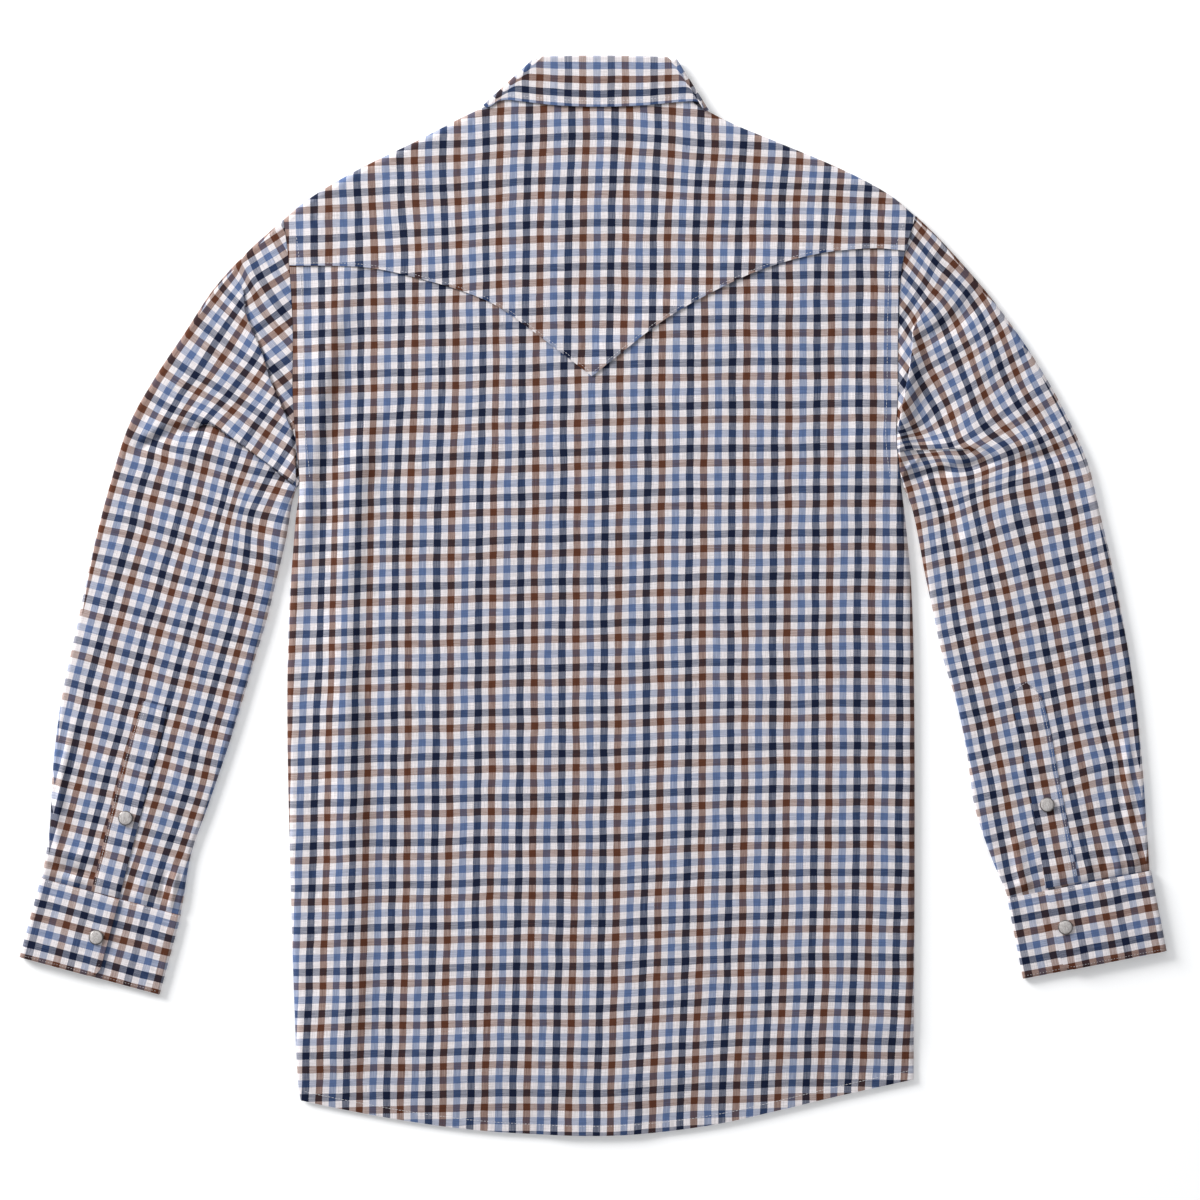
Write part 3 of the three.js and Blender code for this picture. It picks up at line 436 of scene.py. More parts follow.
def stitching(name, lines, pitch=2.8):
    """Rows of lockstitches as one piece. Each stitch is a short thread along its row: its middle line is a
    low arch that dips into the cloth at both ends, and its radius falls off with the square of the distance
    from its middle."""
    rings, sides = 5, 6
    t = np.linspace(-1, 1, rings)
    angle = np.linspace(0, 2 * np.pi, sides, endpoint=False)
    spines = []
    for line in lines:
        along = np.concatenate([[0], np.cumsum(np.linalg.norm(np.diff(line, axis=0), axis=1))])
        count = int(along[-1] // pitch)
        centre = (np.arange(count)[:, None] + 0.5) * along[-1] / count
        at = centre + 0.4 * pitch * t
        spines.append(np.stack([np.interp(at, along, line[:, axis]) for axis in range(3)], -1))
    spine = np.concatenate(spines)
    spine[..., 2] += THREAD * (0.1 - 1.1 * t * t)
    ahead = np.gradient(spine, axis=1)
    ahead /= np.linalg.norm(ahead, axis=2, keepdims=True)
    aside = np.cross(ahead, [0, 0, 1.0])
    aside /= np.linalg.norm(aside, axis=2, keepdims=True)
    upward = np.cross(aside, ahead)
    radius = (THREAD * (1 - 0.5 * t * t))[None, :, None, None]
    around = np.cos(angle)[:, None] * aside[:, :, None] + np.sin(angle)[:, None] * upward[:, :, None]
    places = (spine[:, :, None] + radius * around) * MM
    first = np.arange(len(spine))[:, None, None] * rings * sides
    ring, turn = np.meshgrid(np.arange(rings - 1) * sides, np.arange(sides), indexing="ij")
    after = (turn + 1) % sides
    corners = [ring + turn, ring + after, ring + sides + after, ring + sides + turn]
    walls = (first[..., None] + np.stack(corners, -1)[None]).reshape(-1, 4)
    ends = np.stack([np.arange(sides)[::-1], (rings - 1) * sides + np.arange(sides)])
    caps = (first + ends[None]).reshape(-1, sides)
    mesh = bpy.data.meshes.new(name)
    mesh.from_pydata(places.reshape(-1, 3).tolist(), [], walls.tolist() + caps.tolist())
    mesh.polygons.foreach_set("use_smooth", np.ones(len(mesh.polygons), bool))
    mesh.materials.append(cotton_thread)
    piece = bpy.data.objects.new(name, mesh)
    bpy.context.collection.objects.link(piece)
    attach(piece, "root")
    return piece


def sewing_thread():
    """Pale sewing cotton, a little darker and lighter from stitch to stitch."""
    finish = Finish("sewing_thread")
    place = finish.add("ShaderNodeTexCoord", None, None, 3)
    tone = finish.add("ShaderNodeTexNoise", None, {"Vector": place, "Scale": 420.0, "Detail": 1.0})
    dull, pale = (0.62, 0.6, 0.62, 1), (0.9, 0.88, 0.88, 1)
    colour = finish.add("ShaderNodeMix", {"data_type": "RGBA"}, {0: tone, 6: dull, 7: pale}, 2)
    return finish.surface(Base_Color=colour, Roughness=0.6 + tone * 0.2)


cotton_thread = sewing_thread()


def declare(piece, slot, node, material, **cloth):
    """Finishes a piece: its material, the body it rides on, and the solid it stands for, which it hides.
    Its slot and its cut are not used."""
    piece.data.materials.append(material)
    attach(piece, "root")
    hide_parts(node)


checked_cotton = shirting("checked_cotton")

back_across, back_moved = side_steps(122)
back_up = np.concatenate([np.linspace(0, 0.065, 16), np.linspace(0.065, 1, 150)[1:]])[:, None]
x, y = on_body(
    lambda at: mix(hem(at), yoke_edge(at) + YOKE_OVERLAP, back_up), back_across[None], back_moved[None]
)
back = cloth_shell("back_panel", np.stack([x, y, back_height(x, y)], -1), back_cloth(x, y), CLOTH)


def row_over(height, x, y):
    """A stitched row on a surface: its places, at the height that the surface has there."""
    return np.stack([x, y, height(x, y)], -1)


hem_x = np.linspace(-237, 259, 400)
armhole_y = np.linspace(97, 266, 160)
back_rows = [row_over(back_height, hem_x, hem(hem_x) + 8)]
back_rows.append(row_over(back_height, body_left(armhole_y) + ARMHOLE_ROW, armhole_y))
right_y = armhole_y + 12 * ease(armhole_y, 97, 266)
back_rows.append(row_over(back_height, body_right(armhole_y) - ARMHOLE_ROW, right_y))
back_stitching = stitching("back_stitching", back_rows)
declare(
    back, "checked_cotton", "back", checked_cotton, flat=(0.53, 0.74), held="laid", area=0.353,
    rests_on=["front_left_panel", "front_right_panel"], with_pieces=[back_stitching],
)


# Back yoke
# A pointed western yoke over the shoulders, cut from the same cloth as one piece. Its edge lies over the
# back and is topstitched to it, and at the shoulders it folds over to the front.
YOKE_STEP = 1.5
SHOULDER = [
    (-254, 309), (-235, 325), (-195, 349), (-144, 374), (-113, 390), (-92, 400), (-80, 405.5), (-70, 408.5),
    (3, 408.5), (76, 408), (86, 402.5), (97, 396.5), (116, 387), (148, 374), (207, 349), (244, 329),
    (264.5, 312),
]
YOKE_CREASES = [
    (-232, 318, -222, 276, 0.5, 8, 12, 2),
    (-170, 350, -120, 290, 0.35, 16, 22, 8),
    (-60, 380, -90, 300, 0.3, 26, 20, 6),
    (70, 385, 110, 300, 0.35, 22, 28, -8),
    (190, 345, 200, 292, 0.4, 12, 16, 4),
    (238, 322, 234, 292, 0.5, 8, 9, -2),
]
# Height, how far the yoke's warp leans there, and how much wider it runs
YOKE_WARP = [(180, 13.4, 1), (280, 14.6, 1.005), (325, 15.6, 1.01), (376, 18, 1.018)]
# Place across, and how far its weft bows down there at the neck and over the back
YOKE_WEFT = [
    (-250, 14, 14), (-180, 9.5, 10.3), (-109, 6.3, 5.8), (-60, 2.2, 1.8), (6, 0, 0), (47, 1.6, 0),
    (88, 5.3, 0.4), (120, 7.2, 0.6), (190, 11, 1.5), (262, 16, 3),
]
YOKE_NAVY_WEFT = 199
YOKE_WEFT_REPEAT = 35.6


def shoulder(x):
    """Height of the shoulders and of the neck seam at a place across."""
    return follow(SHOULDER, x)


def collar_lift(x, y):
    """How far the fronts are lifted near the neck, where the collar's points lie under them."""
    return 1.6 * (1 - ease(np.hypot(x - 4, y - 400), 102, 140))


def yoke_height(x, y):
    """Height of the yoke's upper face: a step over the back along its edge, and round where it folds at the
    shoulders."""
    at_shoulder = 1 - ease(x, -84, -72) + ease(x, 77, 89)
    edge = SIDE_EDGE + collar_lift(x, y)
    above = y - yoke_edge(x)
    step = YOKE_STEP * (1 - ease(above, 5, 35))
    inland = ease(shoulder(x) - y, 2, 30) * ease(above, 0, 20)
    round_top = mix(1, rounding(shoulder(x) - y), at_shoulder)
    relief = (creases(YOKE_CREASES, x, y) + unevenness(x, y, 8)) * inland
    return edge + (BACK_TOP + step - edge) * round_top + relief


def yoke_cloth(x, y):
    """Place on the flat cloth of the yoke, measured as the back's is."""
    pushed = 1.15 * follow(WARP_PUSHED, x) * (1 - ease(y, 270, 370))
    across = (x - follow(YOKE_WARP, y, 1) - pushed) / follow(YOKE_WARP, y, 2)
    bow = mix(follow(YOKE_WEFT, x, 2), follow(YOKE_WEFT, x, 1), ease(y, 300, 372))
    down = (YOKE_NAVY_WEFT - bow - y) * WEFT_REPEAT / YOKE_WEFT_REPEAT
    return np.stack([across, down], axis=-1)


yoke_across = np.linspace(0, 1, 171)[None]
yoke_up = np.linspace(0, 1, 52)[:, None]
yoke_turned = (FOLD_WIDTH * (1 - np.cos(np.linspace(np.pi / 2, 0, 9))))[1:, None]
lower = on_body(lambda at: mix(yoke_edge(at), shoulder(at) - FOLD_WIDTH, yoke_up), yoke_across)
upper = on_body(lambda at: shoulder(at) - yoke_turned, yoke_across)
x, y = np.concatenate([lower[0], upper[0]]), np.concatenate([lower[1], upper[1]])
yoke = cloth_shell("back_yoke_panel", np.stack([x, y, yoke_height(x, y)], -1), yoke_cloth(x, y), CLOTH)
yoke_x = np.linspace(-247, 255, 420)
yoke_rise = np.gradient(yoke_edge(yoke_x), yoke_x)
yoke_rows = [row_over(yoke_height, yoke_x, yoke_edge(yoke_x) + 2.2 * np.sqrt(1 + yoke_rise ** 2))]
left_y, right_y = np.linspace(274, 306, 40), np.linspace(287, 308, 30)
yoke_rows.append(row_over(yoke_height, body_left(left_y) + ARMHOLE_ROW, left_y))
yoke_rows.append(row_over(yoke_height, body_right(right_y) - ARMHOLE_ROW, right_y))
yoke_stitching = stitching("yoke_stitching", yoke_rows)
declare(
    yoke, "checked_cotton", "back_yoke", checked_cotton, flat=(0.53, 0.21), held="laid", area=0.078,
    rests_on=["back_panel"], with_pieces=[yoke_stitching],
)


# Fronts
# The left and right front lie on the surface, under the back, each one panel from the hem to the shoulder.
# The right one runs on under the front band as its underlap.
FRONT_TOP = [
    (-254, 308), (-235, 323.5), (-195, 347.5), (-144, 372.5), (-113, 388), (-92, 396), (-80, 399), (-60, 372),
    (-31, 343), (-9.6, 333.5), (5.7, 331.5), (21, 333.5), (46, 343), (75, 372), (87, 393), (97, 392.5),
    (116, 385), (148, 372.5), (207, 347.5), (244, 327.5), (264.5, 311),
]
NECK_CORNERS = (6, 14)
FRONT_HEM_RISE = 13
BAND_WIDTH = 30
BAND_LIFT = 1.6
FRONT_CREASES = [
    (-190, 240, -150, 60, 0.5, 14, 18, 8),
    (-120, 40, -150, -240, 0.45, 18, 14, -9),
    (-60, -120, -80, -380, 0.4, 20, 16, 7),
    (-215, -60, -205, -330, 0.5, 12, 16, 3),
    (90, 260, 130, 40, 0.45, 16, 20, -8),
    (170, 180, 150, -80, 0.5, 18, 14, 9),
    (80, -60, 100, -330, 0.4, 18, 22, 8),
    (225, 20, 215, -260, 0.5, 12, 15, -4),
]


def band_lift(y):
    """How far the front band is lifted by its snaps: not below them, where it lies down."""
    return BAND_LIFT * ease(y, -340, -240)


def front_panel(name, near, side, lift):
    """A front between the plumb line at `near` and the body's edge that `side` gives, flat but for the
    given lift. Its outer face looks down, so its columns run from right to left."""
    share = np.concatenate([np.linspace(0, 0.25, 16), np.linspace(0.25, 1, 60)[1:]])[None]
    up = np.concatenate([np.linspace(0, 0.69, 92), np.linspace(0.69, 1, 62)[1:]])[:, None]
    across = share if near > side(0) else share[:, ::-1]

    def level(at):
        """Height of each row: its share of the way from the hem up to the top edge."""
        return mix(hem(at) + FRONT_HEM_RISE, follow(FRONT_TOP, at, corners=NECK_CORNERS), up)

    x = mix(near, side(0), across) + 0 * up
    for _ in range(8):
        y = level(x)
        x = mix(near, side(y), across)
    inland = ease(np.abs(x - side(y)), 4, 30) * ease(np.abs(x - near), 30, 60) * ease(y - hem(x), 10, 60)
    inland = inland * (1 - ease(y, 230, 290))
    pressed = np.maximum(creases(FRONT_CREASES, x, y), 0) * inland
    z = np.maximum(collar_lift(x, y), lift(x, y)) + pressed
    cloth = np.stack([near + BAND_CENTRE - x, 120 - y], -1)
    return cloth_shell(name, np.stack([x, y, z], -1), cloth, CLOTH)


left_edge = BAND_CENTRE - BAND_WIDTH / 2
front_left = front_panel(
    "front_left_panel", left_edge - 0.3, body_left,
    lambda x, y: band_lift(y) * ease(x, left_edge - 30, left_edge),
)
front_right = front_panel(
    "front_right_panel", left_edge, body_right,
    lambda x, y: (band_lift(y) + SIDE_EDGE) * (1 - ease(x, left_edge + 34, left_edge + 56)),
)
declare(
    front_left, "checked_cotton", "front_left", checked_cotton, flat=(0.25, 0.81), held="laid", area=0.174,
    rests_on=["front_band"],
)
declare(
    front_right, "checked_cotton", "front_right", checked_cotton, flat=(0.29, 0.8), held="laid", area=0.197,
    rests_on=["front_band"],
)


# Front band
# The snap placket down the left front's edge, a folded strip of the same cloth with a row of stitching near
# each side. It lies face down on its snaps.
BAND_CLOTH = 1

checked_band = shirting("checked_cotton_band", 0.6)

band_across = np.linspace(-1, 1, 13)[None, ::-1]
band_up = np.linspace(0, 1, 190)[:, None]
x = BAND_CENTRE + BAND_WIDTH / 2 * band_across + 0 * band_up
y = mix(hem(x) + FRONT_HEM_RISE, follow(FRONT_TOP, x, corners=NECK_CORNERS), band_up)
z = band_lift(y) + 0.25 * np.abs(band_across) ** 6
band_laid = np.stack([9 - x, 128 - y], -1)
front_band = cloth_shell("front_band", np.stack([x, y, z], -1), band_laid, BAND_CLOTH)
declare(
    front_band, "checked_cotton_band", "front_placket", checked_band, flat=(0.03, 0.765), held="laid",
    rests_on=["front_snap_4"],
)


# Collar stand
# The upright band of the collar, between the neck seam and the leaf, snapped under the chin. Laid flat it
# goes round in two layers, the near one under the leaf.
LEAF_TURN = 3.85
STAND_TURN = 2.3
# Number, fold x, fold y, edge x and edge y of each section; three runs: under left, over and under right
STAND_UNDER_LEFT = [
    (0, 20.5, 367.5, 20.5, 334.5), (1, 5.7, 365, 5.7, 332.5), (2, -19, 376, -31, 344.5),
    (3, -38.4, 404.6, -60, 374), (4, -49, 439.4, -79.5, 411.6),
]
STAND_OVER = [
    (0, -49, 439.4, -79.5, 411.6), (1, -30, 439.9, -55, 409.3), (2, 10, 440.2, 3, 409),
    (3, 48, 439.6, 60, 409.2), (4, 69.4, 438.2, 87.5, 409.3),
]
STAND_UNDER_RIGHT = [
    (0, 69.4, 438.2, 87.5, 409.3), (1, 53.4, 404.6, 74, 375), (2, 39, 384, 46, 345.5), (3, 24, 370, 25, 336),
    (4, -9, 369, -9, 336),
]
STAND_OVERLAP = 1.55
COLLAR_NAVY_WEFT = 14.8
STAND_NAVY_WARP = 409
# How many sections a run under the collar, the run over it and a half turn have, and over how many a run is
# drawn to a half turn. Then the first and last section over the collar.
UNDER_SECTIONS = 40
OVER_SECTIONS = 70
TURN_SECTIONS = 13
JOIN_SECTIONS = 14
OVER_FIRST = UNDER_SECTIONS + TURN_SECTIONS - 1
OVER_LAST = OVER_FIRST + OVER_SECTIONS - 1


def collar_sections(under_left, over, under_right, turn, raised=0.0):
    """Sections of a collar piece as arrays of fold point, free edge point and outward direction. The runs
    are read smoothly from their tables, and between two runs the piece goes round half a circle whose radius
    is `turn`. The last run is raised where it lies over the first."""
    def run(rows, count, height, out):
        """A run's sections, evenly along its table, all at one height and facing up or down."""
        at = np.linspace(0, len(rows) - 1, count)
        fold = np.stack([follow(rows, at, 1), follow(rows, at, 2), height + 0 * at], -1)
        edge = np.stack([follow(rows, at, 3), follow(rows, at, 4), height + 0 * at], -1)
        return fold, edge, np.tile([0.0, 0.0, out], (count, 1))

    def half_turn(row, side):
        """The half circle's sections, from below up at the left and from above down at the right."""
        fold, edge = np.array([*row[1:3], LEAF_TURN]), np.array([*row[3:5], LEAF_TURN])
        down = (edge - fold) / np.linalg.norm(edge - fold)
        outward = np.array([-down[1], down[0], 0.0])
        outward = outward * np.sign(outward[0]) * side
        angle = np.linspace(-np.pi / 2, np.pi / 2, TURN_SECTIONS)[:, None] * -side
        out = outward * np.cos(angle) + np.array([0, 0, 1.0]) * np.sin(angle)
        shift = out * turn - outward * LEAF_TURN
        return fold + shift, edge + shift, out

    left, right = half_turn(over[0], -1), half_turn(over[-1], 1)
    first = run(under_left, UNDER_SECTIONS, LEAF_TURN - turn, -1)
    middle = run(over, OVER_SECTIONS, LEAF_TURN + turn, 1)
    last = run(under_right, UNDER_SECTIONS, LEAF_TURN - turn, -1)
    last[0][:, 2] += raised * ease(np.arange(UNDER_SECTIONS), 18, 30)
    last[1][:, 2] += raised * ease(np.arange(UNDER_SECTIONS), 18, 30)
    # Which end of each run, its first or its last section, is drawn to which end of a half turn
    for joined, end, half, aim in (
        (first, -1, left, 0), (middle, 0, left, -1), (middle, -1, right, 0), (last, 0, right, -1),
    ):
        for line, target in zip(joined[:2], half[:2]):
            away = np.abs(np.arange(len(line)) + end * (len(line) - 1))
            line += (target[aim] - line[end]) * (1 - ease(away, 0, JOIN_SECTIONS))[:, None]
    runs = [first, left, middle, right, last]
    return [np.concatenate([r[part][1 if i else 0:] for i, r in enumerate(runs)]) for part in (0, 1, 2)]


def collar_cloth(points, weft_at, warp_at):
    """Place on the flat cloth of a collar piece, which is cut crosswise, its warp running along it. The
    warp's count is the length up from `warp_at` on the section at the middle of the back, and the weft's is
    each row's own length along from where it passes over `weft_at`."""
    length = np.linalg.norm(np.diff(points, axis=1), axis=2)
    along = np.concatenate([np.zeros((len(points), 1)), np.cumsum(length, 1)], 1)
    over = slice(OVER_FIRST, OVER_LAST)
    start = [np.interp(weft_at, row[over, 0], measured[over]) for row, measured in zip(points, along)]
    middle = points[:, OVER_FIRST + OVER_SECTIONS // 2]
    up = np.concatenate([[0], np.cumsum(np.linalg.norm(np.diff(middle, axis=0), axis=1))])
    warp, weft = (up + middle[0, 1] - warp_at)[:, None], along - np.array(start)[:, None]
    return np.stack(np.broadcast_arrays(warp, weft), -1)


fold, edge, _ = collar_sections(STAND_UNDER_LEFT, STAND_OVER, STAND_UNDER_RIGHT, STAND_TURN, STAND_OVERLAP)
stand_points = np.stack([mix(fold, edge, share) for share in np.linspace(1, 0, 9)])
stand_cloth = collar_cloth(stand_points, COLLAR_NAVY_WEFT, STAND_NAVY_WARP)
collar_stand = cloth_shell("collar_stand_band", stand_points, stand_cloth, BAND_CLOTH)
declare(
    collar_stand, "checked_cotton_band", "collar_stand", checked_band, flat=(0.43, 0.036), held="folded",
    rests_on=["collar_leaf_fall"],
)


# Collar leaf
# The turned-down part of the collar, two layers with a stiffening between, its points at the front. It folds
# over the stand, and its lower edge and points are edge-stitched.
LEAF_UNDER_LEFT = [
    (0, 3, 368, -35, 312), (1, -19, 379, -54, 343), (2, -37, 406, -72, 373), (3, -48, 442, -90, 403),
]
LEAF_OVER = [
    (0, -48, 442, -90, 403), (1, -43, 442.5, -76, 407), (2, -37, 442.6, -56, 405), (3, -16, 442.9, -28, 402),
    (4, 10, 443, 5, 401), (5, 36, 442.6, 40, 402), (6, 57, 442, 72, 405), (7, 63, 441.6, 89, 405),
    (8, 68.5, 441, 95, 399),
]
LEAF_UNDER_RIGHT = [
    (0, 68.5, 441, 95, 399), (1, 52, 406, 82, 371), (2, 32, 379, 64, 342), (3, 9, 368, 46, 312),
]
LEAF_CLOTH = 0.8
LEAF_ROW = 5
LEAF_ROLL = 1.5
LEAF_NAVY_WARP = 411.6

fold, edge, out = collar_sections(LEAF_UNDER_LEFT, LEAF_OVER, LEAF_UNDER_RIGHT, LEAF_TURN)
leaf_length = np.linalg.norm(fold - edge, axis=1)[:, None]
roll = np.linspace(0, 0.95 * np.pi, 11)[:, None, None]
down_leaf = (edge - fold) / leaf_length
flat_part = np.stack([mix(edge, fold + down_leaf * LEAF_ROLL, share) for share in np.linspace(0, 1, 22)])
rolled = fold + down_leaf * LEAF_ROLL * (1 - np.sin(roll)) - out * LEAF_ROLL * (1 - np.cos(roll))
leaf_points = np.concatenate([flat_part, rolled[1:]])
leaf_cloth = collar_cloth(leaf_points, COLLAR_NAVY_WEFT, LEAF_NAVY_WARP)
collar_leaf = cloth_shell("collar_leaf_fall", leaf_points, leaf_cloth, LEAF_CLOTH)
edge_row = flat_part[0] + (flat_part[-1] - flat_part[0]) * (LEAF_ROW / leaf_length)
edge_row = edge_row[OVER_FIRST + 2:OVER_LAST - 2] + (0, 0, 0.02)
leaf_stitching = stitching("collar_stitching", [edge_row])
declare(
    collar_leaf, "checked_cotton", "collar_leaf", checked_cotton, flat=(0.47, 0.068), held="folded",
    area=0.0195, rests_on=["collar_stand_band"], with_pieces=[leaf_stitching],
)


# Sleeves
# Each sleeve is one panel folded round and felled down its inner edge, set into the armhole. Laid down the
# shirt's side its upper part pleats and drags towards the armpit, and it is gathered a little at the cuff.
# Number, far edge x and y, near edge x and y, and height of the top face, from the armhole to the cuff
SLEEVE_LEFT = [
    (0, -254, 309, -240.5, 92, 6.2), (1, -285, 281, -244, 86, 6.2), (2, -312, 251, -246, 80, 6.2),
    (3, -335, 216, -247.5, 74, 6.2), (4, -359, 180, -248.5, 68, 6.2), (5, -381, 140, -250, 58, 6.2),
    (6, -396, 93, -253, 42, 6.1), (7, -407, 52, -260, 13, 6), (8, -416, 12, -268, -20, 5.9),
    (9, -424, -26, -279, -56, 5.8), (10, -434, -72, -292, -100, 5.7), (11, -440, -110, -303, -134, 5.6),
    (12, -444, -150, -316, -172, 5.5), (13, -446, -190, -330, -212, 5.4),
    (13.78, -451, -223, -336.8, -252, 5.6), (14, -452.6, -232, -339, -263, 3.6),
]
SLEEVE_RIGHT = [
    (0, 264.5, 312, 252.5, 96, 6.2), (1, 285, 292, 255, 89, 6.2), (2, 313, 261, 257.5, 83, 6.2),
    (3, 334, 235, 260, 77, 6.2), (4, 360, 198, 262, 71, 6.2), (5, 383, 159, 265, 58, 6.2),
    (6, 405, 112, 268, 42, 6.1), (7, 416, 68, 272, 20, 6), (8, 424, 34, 278, -8, 5.9),
    (9, 433, -10, 287, -50, 5.8), (10, 441, -55, 299, -90, 5.7), (11, 447, -100, 307, -130, 5.6),
    (12, 451, -140, 313, -172, 5.5), (13, 454, -182, 326, -212, 5.4),
    (13.78, 456.2, -216, 337.5, -239.5, 5.6), (14, 456.9, -226, 341, -249, 3.6),
]
SLEEVE_LEFT_CREASES = [
    (-281, 114, -246, 88, -1.4, 1.6, 1.8, -1),
    (-378, 117, -312, 139, -2.6, 6, 4, -6),
    (-372, 129, -318, 146, 1.2, 5, 7, -6),
    (-350, 108, -300, 118, 0.8, 8, 5, -3),
    (-424, -100, -440, -215, 2.3, 4, 5, 6),
    (-431, -115, -445, -215, -1.3, 3, 3, 6),
    (-449, -220, -402, -228, -2.6, 2.6, 4, 3),
    (-447, -208, -406, -214, 1.7, 3.5, 5, 3),
    (-341, -222, -347, -257, 2.1, 2.5, 3, 0),
    (-350, -226, -354, -255, -1.5, 2.5, 2.5, 1),
    (-366, -226, -370, -256, 1.3, 3, 4, 0),
    (-378, -232, -381, -252, -0.9, 3, 3, 0),
    (-420, -226, -423, -247, 1.1, 4, 3, 0),
    (-330, 200, -350, 120, 0.4, 16, 14, 5),
    (-300, 60, -330, -60, 0.35, 20, 16, 7),
    (-400, 40, -415, -60, 0.4, 12, 14, -5),
    (-350, -120, -362, -215, 0.35, 12, 10, 4),
    (-262, 60, -280, 10, 0.5, 8, 7, -4),
]
SLEEVE_RIGHT_CREASES = [
    (267, 88, 279, 206, -2.8, 30, 9, -3),
    (318, 122, 396, 134, 1.7, 9, 9, 2),
    (390, 119, 288, 107, -2.2, 4, 6, -3),
    (322, 110, 250, 99, -3, 3.5, 6, -3),
    (286, 100, 352, 111, 1.1, 2.4, 2.6, 1),
    (250, 97, 270, 116, 1.6, 1.8, 1.8, 0),
    (262, 206, 320, 248, -2, 7, 6, 5),
    (282, 99, 302, 48, -2, 3, 7, 6),
    (306, 62, 296, 14, 1.2, 5, 5, -3),
    (441, -192, 438, -108, 1.4, 2.6, 9, 0),
    (434, -194, 432, -112, -1.2, 3, 3, 0),
    (338, 215, 300, 135, 0.45, 12, 14, 6),
    (372, 160, 330, 128, 0.5, 9, 12, 5),
    (320, 30, 350, -70, 0.35, 18, 20, -7),
    (410, 0, 420, -90, 0.4, 12, 14, 5),
    (385, -150, 396, -225, 0.4, 8, 10, -4),
    (346, -192, 353, -244, 1.7, 3.5, 5, 0),
    (340, -240, 360, -235, 1.5, 3, 3, 0),
    (436, -202, 447, -229, 2.2, 2.5, 4, 0),
    (443, -198, 454, -220, -1.4, 2.5, 3, 0),
    (428, -206, 432, -230, 1.3, 3, 3, 0),
    (418, -208, 421, -228, -0.9, 3, 3, 0),
    (404, -208, 407, -233, 1.1, 4, 3, 0),
    (378, -214, 381, -240, 1.1, 3, 4, 0),
]
# Crossings of stripes: x, y, and which warp and which weft stripe, where whole numbers are navy, a third past
# them brown and two thirds past them blue. The first table holds below the pleat into the armpit, the second
# above it, and the third beside the armhole.
LEFT_LOWER = [
    (-358, 126, 0, -2), (-327, 117, 1, -2), (-295, 107, 2, -2), (-265, 99, 3, -2), (-369, 93, 0, -1),
    (-304, 75, 2, -1), (-280, 68, 3, -1), (-401, 66, -0.67, 0), (-377, 61, 0, 0), (-313, 42, 2, 0),
    (-262, 30, 3.67, 0), (-396, -7, 0, 2), (-331, -25, 2, 2), (-278, -38, 3.67, 2), (-414, -75, 0, 4),
    (-381, -84, 1, 4), (-318, -100, 3, 4), (-430, -143, 0, 6), (-399, -150, 1, 6), (-335, -166, 3, 6),
    (-417, -216, 1, 8), (-357, -232, 3, 8),
]
LEFT_UPPER = [
    (-380, 133, -0.67, -2), (-361, 125, 0, -2), (-345, 153, 0, -3), (-364, 164, -0.67, -3),
    (-318, 143, 1, -3), (-326, 181, 0, -4), (-346, 194, -0.67, -4), (-299, 165, 1, -4), (-271, 148, 2, -4),
    (-244, 130, 3, -4), (-307, 212, 0, -5), (-279, 192, 1, -5), (-289, 239, 0, -6), (-303, 252, -0.67, -6),
    (-273, 262, 0, -7), (-281, 280, -0.67, -7), (-289, 121, 2, -3),
]
LEFT_HEAD = [
    (-273, 262, 0, -7), (-281, 280, -0.67, -7), (-255, 234, 1, -7), (-262, 186, 2, -6), (-254, 177, 2.33, -6),
    (-251, 276, 0, -7.67),
]
RIGHT_LOWER = [
    (289, 40, 0, 0), (318, 48, 1, 0), (384, 66, 3, 0), (421, 40, 4, 1), (299, -28, 0, 2), (365, -12, 2, 2),
    (428, 5, 4, 2), (314, -95, 0, 4), (378, -80, 2, 4), (440, -65, 4, 4), (328, -163, 0, 6),
    (390, -148, 2, 6), (424, -139, 3, 6), (449, -135, 4, 6), (341, -231, 0, 8), (404, -213, 2, 8),
    (438, -208, 3, 8), (284, 73, 0, -1), (311, 82, 1, -1), (343, 92, 2, -1), (377, 101, 3, -1),
    (405, 109, 4, -1), (276, 103, 0, -2), (308, 104, 1, -2), (342, 117, 2, -2), (367, 127, 3, -2),
    (391, 140, 4, -2), (280, 116, 0.33, -2.67), (285.4, 105.8, 0.33, -2), (287.4, 93.5, 0.33, -1.67),
    (278.4, 93.1, 0, -1.67), (320.3, 108.2, 1.33, -2), (321.8, 85.5, 1.33, -1), (303.8, 115.6, 1, -2.6),
    (321, 139, 2, -3), (348, 157, 3, -3), (374, 173, 4, -3),
]
RIGHT_UPPER = [
    (281, 153, 1, -4), (308, 170, 2, -4), (334, 188, 3, -4), (266, 181, 1, -5), (296, 200, 2, -5),
    (323, 218, 3, -5), (286, 225, 2, -6), (306, 248, 3, -6), (267, 250, 2, -7), (282, 273, 3, -7),
    (257, 299, 3, -8), (293, 124, 1, -3), (321, 139, 2, -3), (348, 157, 3, -3), (374, 173, 4, -3),
    (253.4, 134.5, 0, -4), (266.7, 132.8, 0.33, -3.67), (258.3, 122.2, 0, -3), (342, 117, 2, -2),
    (367, 127, 3, -2), (391, 140, 4, -2), (343, 92, 2, -1), (377, 101, 3, -1), (405, 109, 4, -1),
    (301, 127, 1.33, -3),
]
RIGHT_HEAD = [
    (280.4, 273.9, 3, -7), (267.9, 249.8, 2, -7), (279.6, 248, 2.33, -6.67), (264, 225.8, 1.33, -6.67),
    (258.3, 200.6, 0.67, -6.33), (254.2, 174.7, 0, -6), (306, 248, 3, -6), (286, 225, 2, -6),
    (257, 299, 3, -8),
]
SEAM_GAP = 0.4
